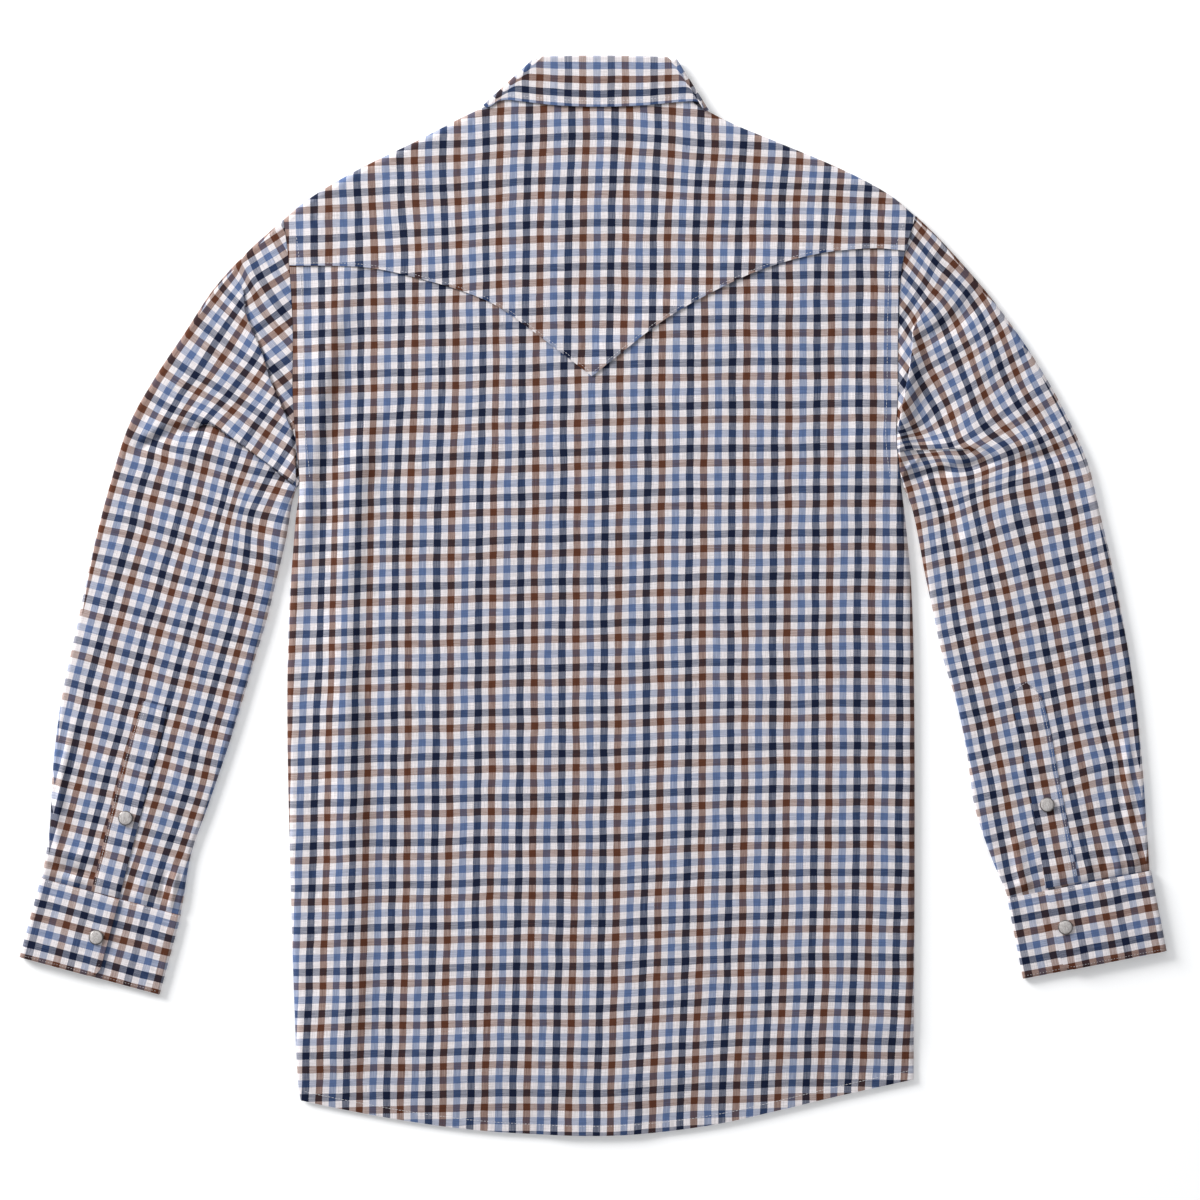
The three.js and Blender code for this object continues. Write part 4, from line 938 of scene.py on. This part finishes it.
# Steps of a sleeve: rings along it, and columns on its top and under it. The check beneath runs on from the
# far edge at the pace that it has over the first columns on top.
SLEEVE_RINGS = 330
TOP_COLUMNS = 98
UNDER_COLUMNS = 18
PACE_COLUMNS = 13


def spread(rows, x, y):
    """The cloth's warp and weft counts at each place, bent as little as possible through the crossings in
    the table: a flat tilt plus, for each crossing, r squared times the logarithm of r."""
    table = np.array(rows) / (100, 100, 1, 1)
    known, wanted = table[:, :2], table[:, 2:]
    count = len(table)

    def bend(squared):
        """A squared distance times its own logarithm."""
        return squared * np.log(np.maximum(squared, 1e-9))

    apart = ((known[:, None] - known[None]) ** 2).sum(-1)
    system = np.zeros((count + 3, count + 3))
    system[:count, :count] = bend(apart) + 0.004 * np.eye(count)
    system[:count, count:] = np.column_stack([np.ones(count), known])
    system[count:, :count] = system[:count, count:].T
    solved = np.linalg.solve(system, np.concatenate([wanted, np.zeros((3, 2))]))
    place = np.stack([x, y], -1)[..., None, :] / 100
    parts = bend(((place - known) ** 2).sum(-1))
    flat = np.concatenate([np.ones((*x.shape, 1)), place[..., 0, :]], -1)
    return parts @ solved[:count] + flat @ solved[count:]


# The pleats beside the armholes: height and place across. Those into the armpits: place across and height.
LEFT_HEAD_PLEAT = [
    (128, -243.5), (151, -253), (179, -265), (200, -271.5), (220, -280), (230, -284), (251, -287),
    (275, -300), (300, -330),
]
LEFT_ARMPIT_PLEAT = [
    (-420, 128), (-380, 129), (-340, 130), (-316, 141), (-299, 131), (-280, 118), (-261, 103), (-243, 89),
]
RIGHT_HEAD_PLEAT = [
    (110, 247), (130, 249.3), (144, 251), (165, 255), (185, 259), (206, 261.6), (218, 262.4), (250, 280),
    (300, 300),
]
RIGHT_ARMPIT_PLEAT = [
    (240, 119), (264, 119.5), (285, 120.3), (300, 120.3), (322, 121), (350, 126), (400, 140),
]


def lap(beyond, share, past, past_width, before, before_width):
    """Height beside a pleat's line: on each side of it half a bell with its own height and width."""
    width = np.where(beyond > 0, past_width, before_width)
    return share * np.where(beyond > 0, past, before) * np.exp(-((beyond / width) ** 2))


def left_laid(x, y):
    """The left sleeve's three stretches of cloth as warp and weft counts: below the armpit pleat, above it
    and beside the armhole. Then how far each place is past each pleat's line, and the height beside the
    pleats. The stretches meet in the pleats, and run together where the pleats end."""
    below, above, head = (spread(table, x, y) for table in (LEFT_LOWER, LEFT_UPPER, LEFT_HEAD))
    over = y - follow(LEFT_ARMPIT_PLEAT, x)
    beside = x - follow(LEFT_HEAD_PLEAT, y)
    cut, cut_head = ease(x, -350, -312), 1 - ease(y, 235, 262)
    soft, soft_head = ease(over, -22, 8), ease(beside, 0, 20)
    lower = mix(below, above, (soft * (1 - cut))[..., None])
    joined = mix(below, above, mix(soft, 1, cut)[..., None])
    middle = mix(joined, head, (soft_head * (1 - cut_head))[..., None])
    upper = mix(middle, head, mix(soft_head, 1, cut_head)[..., None])
    height = lap(over, ease(x, -345, -300), 1.5, 13, -2.2, 3.2) + lap(beside, cut_head, -1.2, 2.4, 1.7, 13)
    return np.stack([lower, middle, upper]), np.stack([over, np.where(over > 0, beside, -1)]), height


def right_laid(x, y):
    """The right sleeve's three stretches of cloth, given as the left one's are."""
    below, above, head = (spread(table, x, y) for table in (RIGHT_LOWER, RIGHT_UPPER, RIGHT_HEAD))
    over = y - follow(RIGHT_ARMPIT_PLEAT, x)
    beside = follow(RIGHT_HEAD_PLEAT, y) - x
    cut, cut_head = 1 - ease(x, 292, 318), 1 - ease(y, 206, 236)
    soft, soft_head = ease(over, -8, 10), ease(beside, -10, 14)
    lower = mix(below, above, (soft * (1 - cut))[..., None])
    joined = mix(below, above, mix(soft, 1, cut)[..., None])
    middle = mix(joined, head, (soft_head * (1 - cut_head))[..., None])
    upper = mix(middle, head, mix(soft_head, 1, cut_head)[..., None])
    height = lap(over, 1 - ease(x, 300, 340), 2.2, 10, 0.9, 7) + lap(beside, cut_head, 1.6, 12, 3, 9)
    return np.stack([lower, middle, upper]), np.stack([over, np.where(over > 0, beside, -1)]), height


def sleeve_ring(rows, armhole, side, laid, lines, seed):
    """A sleeve's outer face as rings from the cuff up: under, round the far edge, over the top and round the
    near edge. A ring's place is mixed between its far and near end, and its height is a half circle at each
    end. The upper end is bent to the armhole, and the rings lie closest there, where the pleats are."""
    length = len(rows) - 2
    number = length * np.linspace(1, 0, SLEEVE_RINGS)[:, None] ** 1.3
    share = number / length
    under, top = np.linspace(1, 0, UNDER_COLUMNS), np.linspace(0, 1, TOP_COLUMNS)
    turn = np.linspace(-np.pi / 2, np.pi / 2, 8)[1:-1]
    angle = np.concatenate([0 * under - np.pi / 2, turn, 0 * top + np.pi / 2, turn[::-1]])[None]
    flat = np.concatenate([under, 0 * turn, top, 0 * turn + 1])[None]
    over_first = len(under) + len(turn)
    over_last = over_first + len(top) - 1
    column = np.arange(angle.size)[None]
    on_top = (column >= over_first) & (column <= over_last)
    far_x, far_y, near_x, near_y, height = (follow(rows, number, key) for key in range(1, 6))
    width = np.hypot(near_x - far_x, near_y - far_y)
    radius = height / 2
    inset = radius / width
    turned = inset * (1 - np.cos(angle))
    level = np.abs(np.abs(angle) - np.pi / 2) < 1e-6
    across = np.where(level, mix(inset, 1 - inset, flat), np.where(flat == 0, turned, 1 - turned))
    x, y = mix(far_x, near_x, across), mix(far_y, near_y, across)
    start_x, start_y = mix(rows[0][1], rows[0][3], across), mix(rows[0][2], rows[0][4], across)
    x = x + (armhole(start_y) + side * SEAM_GAP - start_x) * (1 - ease(share, 0, 0.2))
    inner = ease(across, 0.01, 0.07) * (1 - ease(across, 0.93, 0.99))
    bulge = 0.5 * np.sin(np.pi * np.clip(across, 0, 1)) * ease(share, 0.1, 0.3)
    seams = ease(share, 0, 0.03) * (1 - ease(number, length - 0.12, length))
    counts, beyond, beside_pleats = laid(x, y)
    relief = (bulge + (creases(lines, x, y) + beside_pleats + unevenness(x, y, seed)) * inner) * seams
    z = radius * (1 + np.sin(angle)) + relief * on_top
    first = counts[:, :, over_first:over_first + 1]
    later = counts[:, :, over_first + PACE_COLUMNS:over_first + PACE_COLUMNS + 1]
    apart = (across[:, over_first + PACE_COLUMNS] - across[:, over_first]) * width[:, 0]
    per_mm = (later - first) / apart[None, :, None, None]
    beneath = first - per_mm * ((across - inset) * width)[None, ..., None]
    seen = on_top | (column > over_last)
    counts = np.where(seen[None, ..., None], counts, beneath)
    beyond = np.where(seen[None], beyond, beyond[:, :, over_first:over_first + 1])
    counts = np.concatenate([counts, counts[:, :, :1]], 2) * (WARP_REPEAT, WEFT_REPEAT)
    points = np.stack([x, y, z], -1)
    if side > 0:
        points, beyond, counts = points[:, ::-1], beyond[:, :, ::-1], counts[:, :, ::-1]
        counts = np.concatenate([counts[:, :, 1:], counts[:, :, 1:2]], 2)
    return points, counts[0], list(zip(counts[1:], beyond))


pleated_cotton = shirting("checked_cotton_pleated", 1.0, 2)
sleeve_points = {}
for side, rows, armhole, sign, laid, lines, seed in (
    ("left", SLEEVE_LEFT, body_left, -1, left_laid, SLEEVE_LEFT_CREASES, 21),
    ("right", SLEEVE_RIGHT, body_right, 1, right_laid, SLEEVE_RIGHT_CREASES, 22),
):
    points, cloth, pleats = sleeve_ring(rows, armhole, sign, laid, lines, seed)
    sleeve_points[side] = points
    declare(
        cloth_shell(f"sleeve_{side}_panel", points, cloth, CLOTH, True, pleats), "checked_cotton",
        f"sleeve_{side}", pleated_cotton, flat=(0.44, 0.53), held="laid", area=0.155,
        rests_on=["back_panel", f"cuff_{side}_band"],
    )


# Sleeve plackets
# A strip of the same cloth sewn over each sleeve's opening, from the cuff up, with a snap halfway. The right
# one ends in a point, as the left one does squarely.
PLACKET_CLOTH = 0.8
PEAK = 11
# Number, left edge x and y, and right edge x and y, from the cuff up
PLACKET_LEFT = [
    (0, -411.5, -242, -388.5, -248), (1, -401, -200, -377.5, -206), (2, -390, -155, -366, -161),
    (3, -379, -115, -355, -121), (4, -369.5, -86, -349, -91),
]
PLACKET_RIGHT = [
    (0, 371, -240, 398, -234.5), (1, 364, -195, 389.5, -190), (2, 357, -155, 382, -150),
    (3, 349, -112, 374, -107), (4, 342, -81, 367.5, -82),
]


def top_height(points, x, y):
    """Height of a sleeve's top face at places, taken from its nearest points there, each weighted with the
    bell curve of how far off it is."""
    known = points[(points[..., 2] > 3.5) & (points[..., 1] < -60)]
    apart = (known[:, 0] - x[..., None]) ** 2 + (known[:, 1] - y[..., None]) ** 2
    weight = np.exp(-apart / 8)
    return (weight * known[:, 2]).sum(-1) / weight.sum(-1)


def placket(name, rows, peak, points, cloth):
    """A strip between its two edges, which are read smoothly up its table, on the sleeve's top face."""
    up = np.linspace(0, 1, 70)[:, None]
    at = up * (len(rows) - 1)
    across = np.linspace(0, 1, 12)[None]
    tip = peak * (1 - np.abs(2 * across - 1)) * ease(up, 0.93, 1)
    x = mix(follow(rows, at, 1), follow(rows, at, 3), across)
    y = mix(follow(rows, at, 2), follow(rows, at, 4), across) + tip
    z = top_height(points, x, y) + PLACKET_CLOTH + 0.25 - 0.3 * np.abs(2 * across - 1) ** 8
    return cloth_shell(name, np.stack([x, y, z], -1), cloth(x, y), PLACKET_CLOTH)


def placket_cloth(start, upward):
    """Place on the flat cloth of a placket, square to its length: from where two navy stripes cross, with
    the direction that its length runs in."""
    along = np.array(upward) / np.hypot(*upward)

    def cloth(x, y):
        """Across to the right of that direction, and down against it."""
        right, up = x - start[0], y - start[1]
        return np.stack([right * along[1] - up * along[0], -right * along[0] - up * along[1]], -1)

    return cloth


def on_placket(x, y, points):
    """Places of a stitched row, just under a placket's upper face."""
    return np.stack([x, y, top_height(points, x, y) + PLACKET_CLOTH + 0.22], -1)


def placket_rows(rows, shares, start, points):
    """Stitched rows up a placket, each at its share of the way across, between its two edges."""
    at = np.linspace(start, len(rows) - 1.03, 90)
    lines = []
    for share in shares:
        x = mix(follow(rows, at, 1), follow(rows, at, 3), share)
        y = mix(follow(rows, at, 2), follow(rows, at, 4), share)
        lines.append(on_placket(x, y, points))
    return lines


left_cloth = placket_cloth((-351.8, -103.3), (41, 156.5))
right_cloth = placket_cloth((350, -110), (-29.75, 155.5))
placket_left = placket("sleeve_placket_left_band", PLACKET_LEFT, 0, sleeve_points["left"], left_cloth)
placket_right = placket("sleeve_placket_right_band", PLACKET_RIGHT, PEAK, sleeve_points["right"], right_cloth)
left_rows = placket_rows(PLACKET_LEFT, (0.07, 0.2), 0.1, sleeve_points["left"])
right_rows = placket_rows(PLACKET_RIGHT, (0.93, 0.8), 0.1, sleeve_points["right"])
peak_x, peak_y = np.array([345.5, 355.5, 365]), np.array([-77, -70.5, -78])
right_rows.append(on_placket(peak_x, peak_y, sleeve_points["right"]))
for side, strip, rows, flat in (
    ("left", placket_left, left_rows, (0.024, 0.165)), ("right", placket_right, right_rows, (0.026, 0.17)),
):
    sewn = stitching(f"sleeve_placket_{side}_stitching", rows, 2.2)
    declare(
        strip, "checked_cotton_band", f"sleeve_placket_{side}", checked_band, flat=flat, held="laid",
        rests_on=[f"sleeve_{side}_panel"], with_pieces=[sewn],
    )


# Cuffs
# Each cuff is a stiffened band of two layers wound once round the sleeve's end. Its rounded end lies over
# the other end and is snapped to it, and it is edge-stitched all round.
CUFF_HEIGHT = 67.4
CUFF_CORNER = 10
CUFF_UNDERLAP = 25
CUFF_TOP = 7.2
CUFF_UNDER_TOP = 5.1
CUFF_CLOTH = 1.2
CUFF_ROW = 1.8
# A cuff's top corners, how far along its snapped end comes, and its snap's place in from that end and down
CUFF_LEFT = {"far": (-453, -231), "near": (-338.2, -262), "over": 67, "snap": (10, 35), "side": -1}
CUFF_RIGHT = {"far": (457.8, -225), "near": (340, -248), "over": 87, "snap": (8.6, 32), "side": 1}


def cuff_places(cuff, along, down):
    """Places on a cuff: so far along it from its far corner, and so far down it towards the hand."""
    far, near = np.array(cuff["far"], float), np.array(cuff["near"], float)
    across = (near - far) / np.linalg.norm(near - far)
    hand = np.array([-across[1], across[0]]) * -np.sign(across[0])
    return far[0] + across[0] * along + hand[0] * down, far[1] + across[1] * along + hand[1] * down


def cuff_crown(down):
    """How far a cuff's top rises between its seam and the hand's edge: half a sine wave."""
    return 0.35 * np.sin(np.pi * down / CUFF_HEIGHT)


def cuff_band(name, cuff, weft_start, warp_start, under_shift):
    """A cuff's outer face: rows down the band and columns along it, from its snapped end over the top, round
    the far edge, along the bottom, round the near edge and back under the snapped end. Each turn is half a
    circle."""
    width = np.hypot(cuff["near"][0] - cuff["far"][0], cuff["near"][1] - cuff["far"][1])
    over_turn, under_turn = CUFF_TOP / 2, CUFF_UNDER_TOP / 2
    near_hand = 1 - 0.16 * np.cos(np.linspace(0, np.pi / 2, 12))[1:] ** 1.6
    down = np.concatenate([np.linspace(0, 0.84, 24), near_hand])[:, None] * CUFF_HEIGHT
    past = np.clip(down - (CUFF_HEIGHT - CUFF_CORNER), 0, None) / CUFF_CORNER
    end = cuff["over"] - CUFF_CORNER * (1 - np.sqrt(np.clip(1 - past * past * 0.99, 0, 1)))
    turn = np.linspace(0, np.pi, 13)[None]
    under_end = cuff["over"] - CUFF_UNDERLAP
    stretches = [
        (mix(end, over_turn, np.linspace(0, 1, 26)[None, :-1]), CUFF_TOP + 0 * down),
        (over_turn * (1 - np.sin(turn)) + 0 * down, over_turn * (1 + np.cos(turn))),
        (mix(over_turn, width - under_turn, np.linspace(0, 1, 30)[None, 1:-1]) + 0 * down, 0 * down),
        (width - under_turn * (1 - np.sin(turn)) + 0 * down, under_turn * (1 - np.cos(turn))),
        (mix(width - under_turn, under_end, np.linspace(0, 1, 24)[None, 1:]) + 0 * down, CUFF_UNDER_TOP),
    ]
    along = np.concatenate([s[0] for s in stretches], 1)
    height = np.concatenate([np.broadcast_to(s[1], s[0].shape) for s in stretches], 1)
    x, y = cuff_places(cuff, along, down)
    steps = np.hypot(np.diff(along, axis=1), np.diff(height, axis=1))
    length = np.concatenate([np.zeros((len(down), 1)), np.cumsum(steps, 1)], 1) + (cuff["over"] - end)
    crown = cuff_crown(down) * (height > CUFF_UNDER_TOP - 0.5)
    edge_round = 0.5 * (1 - ease(down, 0, 2.2)) + 0.6 * ease(down, CUFF_HEIGHT - 2, CUFF_HEIGHT)
    toward_middle = np.sign(over_turn - height) * (np.abs(height - over_turn) > 1)
    z = height + np.where(height > 4.5, crown, 0) + edge_round * toward_middle * (height > 4.5)
    sign = -cuff["side"]
    weft = sign * (length - cuff["over"]) + under_shift * ease(length, cuff["over"] + 10, cuff["over"] + 110)
    cloth = np.stack(np.broadcast_arrays(down + warp_start, weft + weft_start), -1)
    points = np.stack([x, y, z], -1)
    points, cloth = points[::-1], cloth[::-1]
    if cuff["side"] < 0:
        points, cloth = points[:, ::-1], cloth[:, ::-1]
    return cloth_shell(name, points, cloth, CUFF_CLOTH)


cuff_left = cuff_band("cuff_left_band", CUFF_LEFT, 7.5, -20.3, 14.2)
cuff_right = cuff_band("cuff_right_band", CUFF_RIGHT, -31.9, -18.3, -11.7)


def cuff_stitching(name, cuff):
    """The row of stitches inside the cuff's edges: along the seam, down the snapped end and along the hand's
    edge."""
    width = np.hypot(cuff["near"][0] - cuff["far"][0], cuff["near"][1] - cuff["far"][1])
    end, low = cuff["over"] - 2, CUFF_HEIGHT - 2.2
    turn = np.linspace(0, np.pi / 2, 9)
    radius = CUFF_CORNER - 2
    corner_along, corner_down = end - radius * (1 - np.cos(turn)), low - radius * (1 - np.sin(turn))
    along = np.concatenate([[4], [end - 0.5], [end], corner_along, [4]])
    down = np.concatenate([[CUFF_ROW], [CUFF_ROW], [3], corner_down, [low]])
    lines = [np.stack([*cuff_places(cuff, along, down), CUFF_TOP + cuff_crown(down) - 0.1], -1)]
    under_along = np.linspace(cuff["over"] + 1.5, width - 3, 30)
    for row in (CUFF_ROW, low):
        x, y = cuff_places(cuff, under_along, np.full(30, row))
        lines.append(np.stack([x, y, 0 * x + CUFF_UNDER_TOP + cuff_crown(row) - 0.1], -1))
    return stitching(name, lines, 2.4)


for side, band, cuff, length in (
    ("left", cuff_left, CUFF_LEFT, 0.27), ("right", cuff_right, CUFF_RIGHT, 0.28),
):
    sewn = cuff_stitching(f"cuff_{side}_stitching", cuff)
    declare(
        band, "checked_cotton_band", f"cuff_{side}", checked_band, flat=(length, 0.065), held="folded",
        rests_on=[f"sleeve_{side}_panel"], with_pieces=[sewn],
    )


# Snaps
# Pearl snaps: a domed cap of marbled pearl-grey resin held in a thin dark metal rim, pressed through the
# cloth.
SNAP_RADIUS = 6
PEARL_RADIUS = 5.3
SNAP_HEIGHT = 2.2
FRONT_SNAP_HEIGHT = 1.3
COLLAR_SNAP = 348
FIRST_FRONT_SNAP = 286
SNAP_SPACING = 98
SLEEVE_SNAP_LEVEL = 7.45


def turned(name, profile, centre, facing):
    """A profile of radius and height turned round an upright axis. Both ends lie on the axis, and close in a
    point."""
    profile, sides = np.array(profile, float), 40
    angle = np.linspace(0, 2 * np.pi, sides, endpoint=False)
    ring = profile[1:-1]
    x = centre[0] + ring[:, :1] * np.cos(angle)
    y = centre[1] + ring[:, :1] * np.sin(angle) * facing
    z = centre[2] + facing * ring[:, 1:] + 0 * angle
    poles = [(centre[0], centre[1], centre[2] + facing * profile[i][1]) for i in (0, -1)]
    places = np.concatenate([np.stack([x, y, z], -1).reshape(-1, 3), poles]) * MM
    count = len(ring)
    r, c = np.meshgrid(np.arange(count - 1), np.arange(sides), indexing="ij")
    d = (c + 1) % sides
    low, high = r * sides, (r + 1) * sides
    walls = np.stack([low + c, low + d, high + d, high + c], -1).reshape(-1, 4)
    i = np.arange(sides)
    j = (i + 1) % sides
    first_cap = np.stack([0 * i + count * sides, j, i], -1)
    last_cap = np.stack([0 * i + count * sides + 1, (count - 1) * sides + i, (count - 1) * sides + j], -1)
    mesh = bpy.data.meshes.new(name)
    mesh.from_pydata(places.tolist(), [], walls.tolist() + first_cap.tolist() + last_cap.tolist())
    mesh.polygons.foreach_set("use_smooth", np.ones(len(mesh.polygons), bool))
    mesh.set_sharp_from_angle(angle=np.radians(40))
    piece = bpy.data.objects.new(name, mesh)
    bpy.context.collection.objects.link(piece)
    return piece


def pearl():
    """Marbled pearl: soft streaks between a pale and a darker grey, with a clear coat."""
    finish = Finish("pearl_resin")
    place = finish.add("ShaderNodeTexCoord", None, None, 3)
    grain = {"Vector": place, "Scale": (900, 330, 400), "Rotation": (0, 0, 0.5)}
    stretched = finish.add("ShaderNodeMapping", None, grain)
    marbling = {"Vector": stretched, "Scale": 1.0, "Detail": 3.0, "Distortion": 1.4}
    swirl = finish.add("ShaderNodeTexNoise", None, marbling)
    share = finish.add("ShaderNodeMapRange", None, {"Value": swirl, "From Min": 0.35, "From Max": 0.65})
    dark, pale = (0.36, 0.33, 0.32, 1), (0.60, 0.57, 0.55, 1)
    colour = finish.add("ShaderNodeMix", {"data_type": "RGBA"}, {0: share, 6: dark, 7: pale}, 2)
    rough = 0.28 + share * 0.12
    return finish.surface(Base_Color=colour, Roughness=rough, Coat_Weight=0.5, Coat_Roughness=0.12)


def snap_metal():
    """Dark nickel of the rim, a little rubbed."""
    finish = Finish("snap_metal")
    place = finish.add("ShaderNodeTexCoord", None, None, 3)
    wear = finish.add("ShaderNodeTexNoise", None, {"Vector": place, "Scale": 900.0, "Detail": 2.0})
    dark, rubbed = (0.12, 0.11, 0.105, 1), (0.27, 0.25, 0.24, 1)
    colour = finish.add("ShaderNodeMix", {"data_type": "RGBA"}, {0: wear, 6: dark, 7: rubbed}, 2)
    return finish.surface(Base_Color=colour, Roughness=0.3 + wear * 0.15, Metallic=0.85)


pearl_resin, dark_nickel = pearl(), snap_metal()


def snap(name, node, centre, height, facing=1):
    """A snap: its rim, turned over the cap's edge, and the pearl cap."""
    rim_profile = [
        (0, 0), (SNAP_RADIUS - 0.4, 0), (SNAP_RADIUS, height * 0.25), (SNAP_RADIUS, height * 0.55),
        (SNAP_RADIUS - 0.25, height * 0.72), (PEARL_RADIUS + 0.05, height * 0.78),
        (PEARL_RADIUS - 0.1, height * 0.66), (0, height * 0.6),
    ]
    rim = turned(name + "_rim", rim_profile, centre, facing)
    slope = np.linspace(0, np.pi / 2, 9)
    dome = [(PEARL_RADIUS * np.cos(a), height * (0.68 + 0.32 * np.sin(a))) for a in slope]
    cap_profile = [(0, height * 0.6), (PEARL_RADIUS, height * 0.62), *dome[:-1], (0, height)]
    cap = turned(name + "_pearl", cap_profile, centre, facing)
    for piece, material in ((rim, dark_nickel), (cap, pearl_resin)):
        piece.data.materials.append(material)
        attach(piece, "root")
        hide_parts(node)


for side, cuff, snap_x, snap_y in (("left", CUFF_LEFT, -383, -182), ("right", CUFF_RIGHT, 372, -171)):
    cuff_x, cuff_y = cuff_places(cuff, cuff["over"] - cuff["snap"][0], cuff["snap"][1])
    snap(f"cuff_snap_{side}", f"snap_cuff_{side}", (cuff_x, cuff_y, CUFF_TOP + 0.3), SNAP_HEIGHT)
    snap(f"sleeve_snap_{side}", f"snap_sleeve_{side}", (snap_x, snap_y, SLEEVE_SNAP_LEVEL), SNAP_HEIGHT)
for number, snap_y in enumerate((COLLAR_SNAP, *(FIRST_FRONT_SNAP - SNAP_SPACING * i for i in range(6))), 1):
    centre = (BAND_CENTRE, snap_y, FRONT_SNAP_HEIGHT)
    snap(f"front_snap_{number}", f"snap_front_{number}", centre, FRONT_SNAP_HEIGHT, -1)


# Surface, light and camera
# A plain white surface under the shirt, a wide soft light low on the upper left, a weak one beyond the collar
# and pale light all round, seen from straight above.
floor_mesh = bpy.data.meshes.new("white_surface")
floor_corners = [(x, y, -0.3 * MM) for x, y in ((-4, -4), (4, -4), (4, 4), (-4, 4))]
floor_mesh.from_pydata(floor_corners, [], [(0, 1, 2, 3)])
floor = bpy.data.objects.new("white_surface", floor_mesh)
bpy.context.collection.objects.link(floor)
paper = Finish("white_paper")
white = {"Base_Color": (0.92, 0.92, 0.92, 1), "Emission_Color": (1, 1, 1, 1), "Emission_Strength": 0.2}
floor_mesh.materials.append(paper.surface(Roughness=0.9, **white))


def soft_light(name, place, size, power):
    """A square panel of light aimed at the middle of the surface."""
    lamp = bpy.data.lights.new(name, "AREA")
    lamp.size = size
    lamp.energy = power
    light = bpy.data.objects.new(name, lamp)
    light.location = place
    light.rotation_euler = (-Vector(place)).to_track_quat("-Z", "Y").to_euler()
    bpy.context.collection.objects.link(light)


soft_light("key_light", (-4.5, 3.4, 2.3), 2.4, 548)
soft_light("top_light", (-0.3, 2, 1.7), 2, 12)
world = bpy.data.worlds.new("pale_room")
world.use_nodes = True
room = world.node_tree.nodes["Background"].inputs
room["Color"].default_value = (0.95, 0.97, 1.0, 1)
room["Strength"].default_value = 0.42
bpy.context.scene.world = world
bpy.context.scene.view_settings.view_transform = "Standard"

camera_data = bpy.data.cameras.new("camera")
camera_data.lens = 100
camera_data.sensor_width = 36
camera = bpy.data.objects.new("camera", camera_data)
camera.location = (0.0057, -0.0033, 2.739)
bpy.context.collection.objects.link(camera)
bpy.context.scene.camera = camera
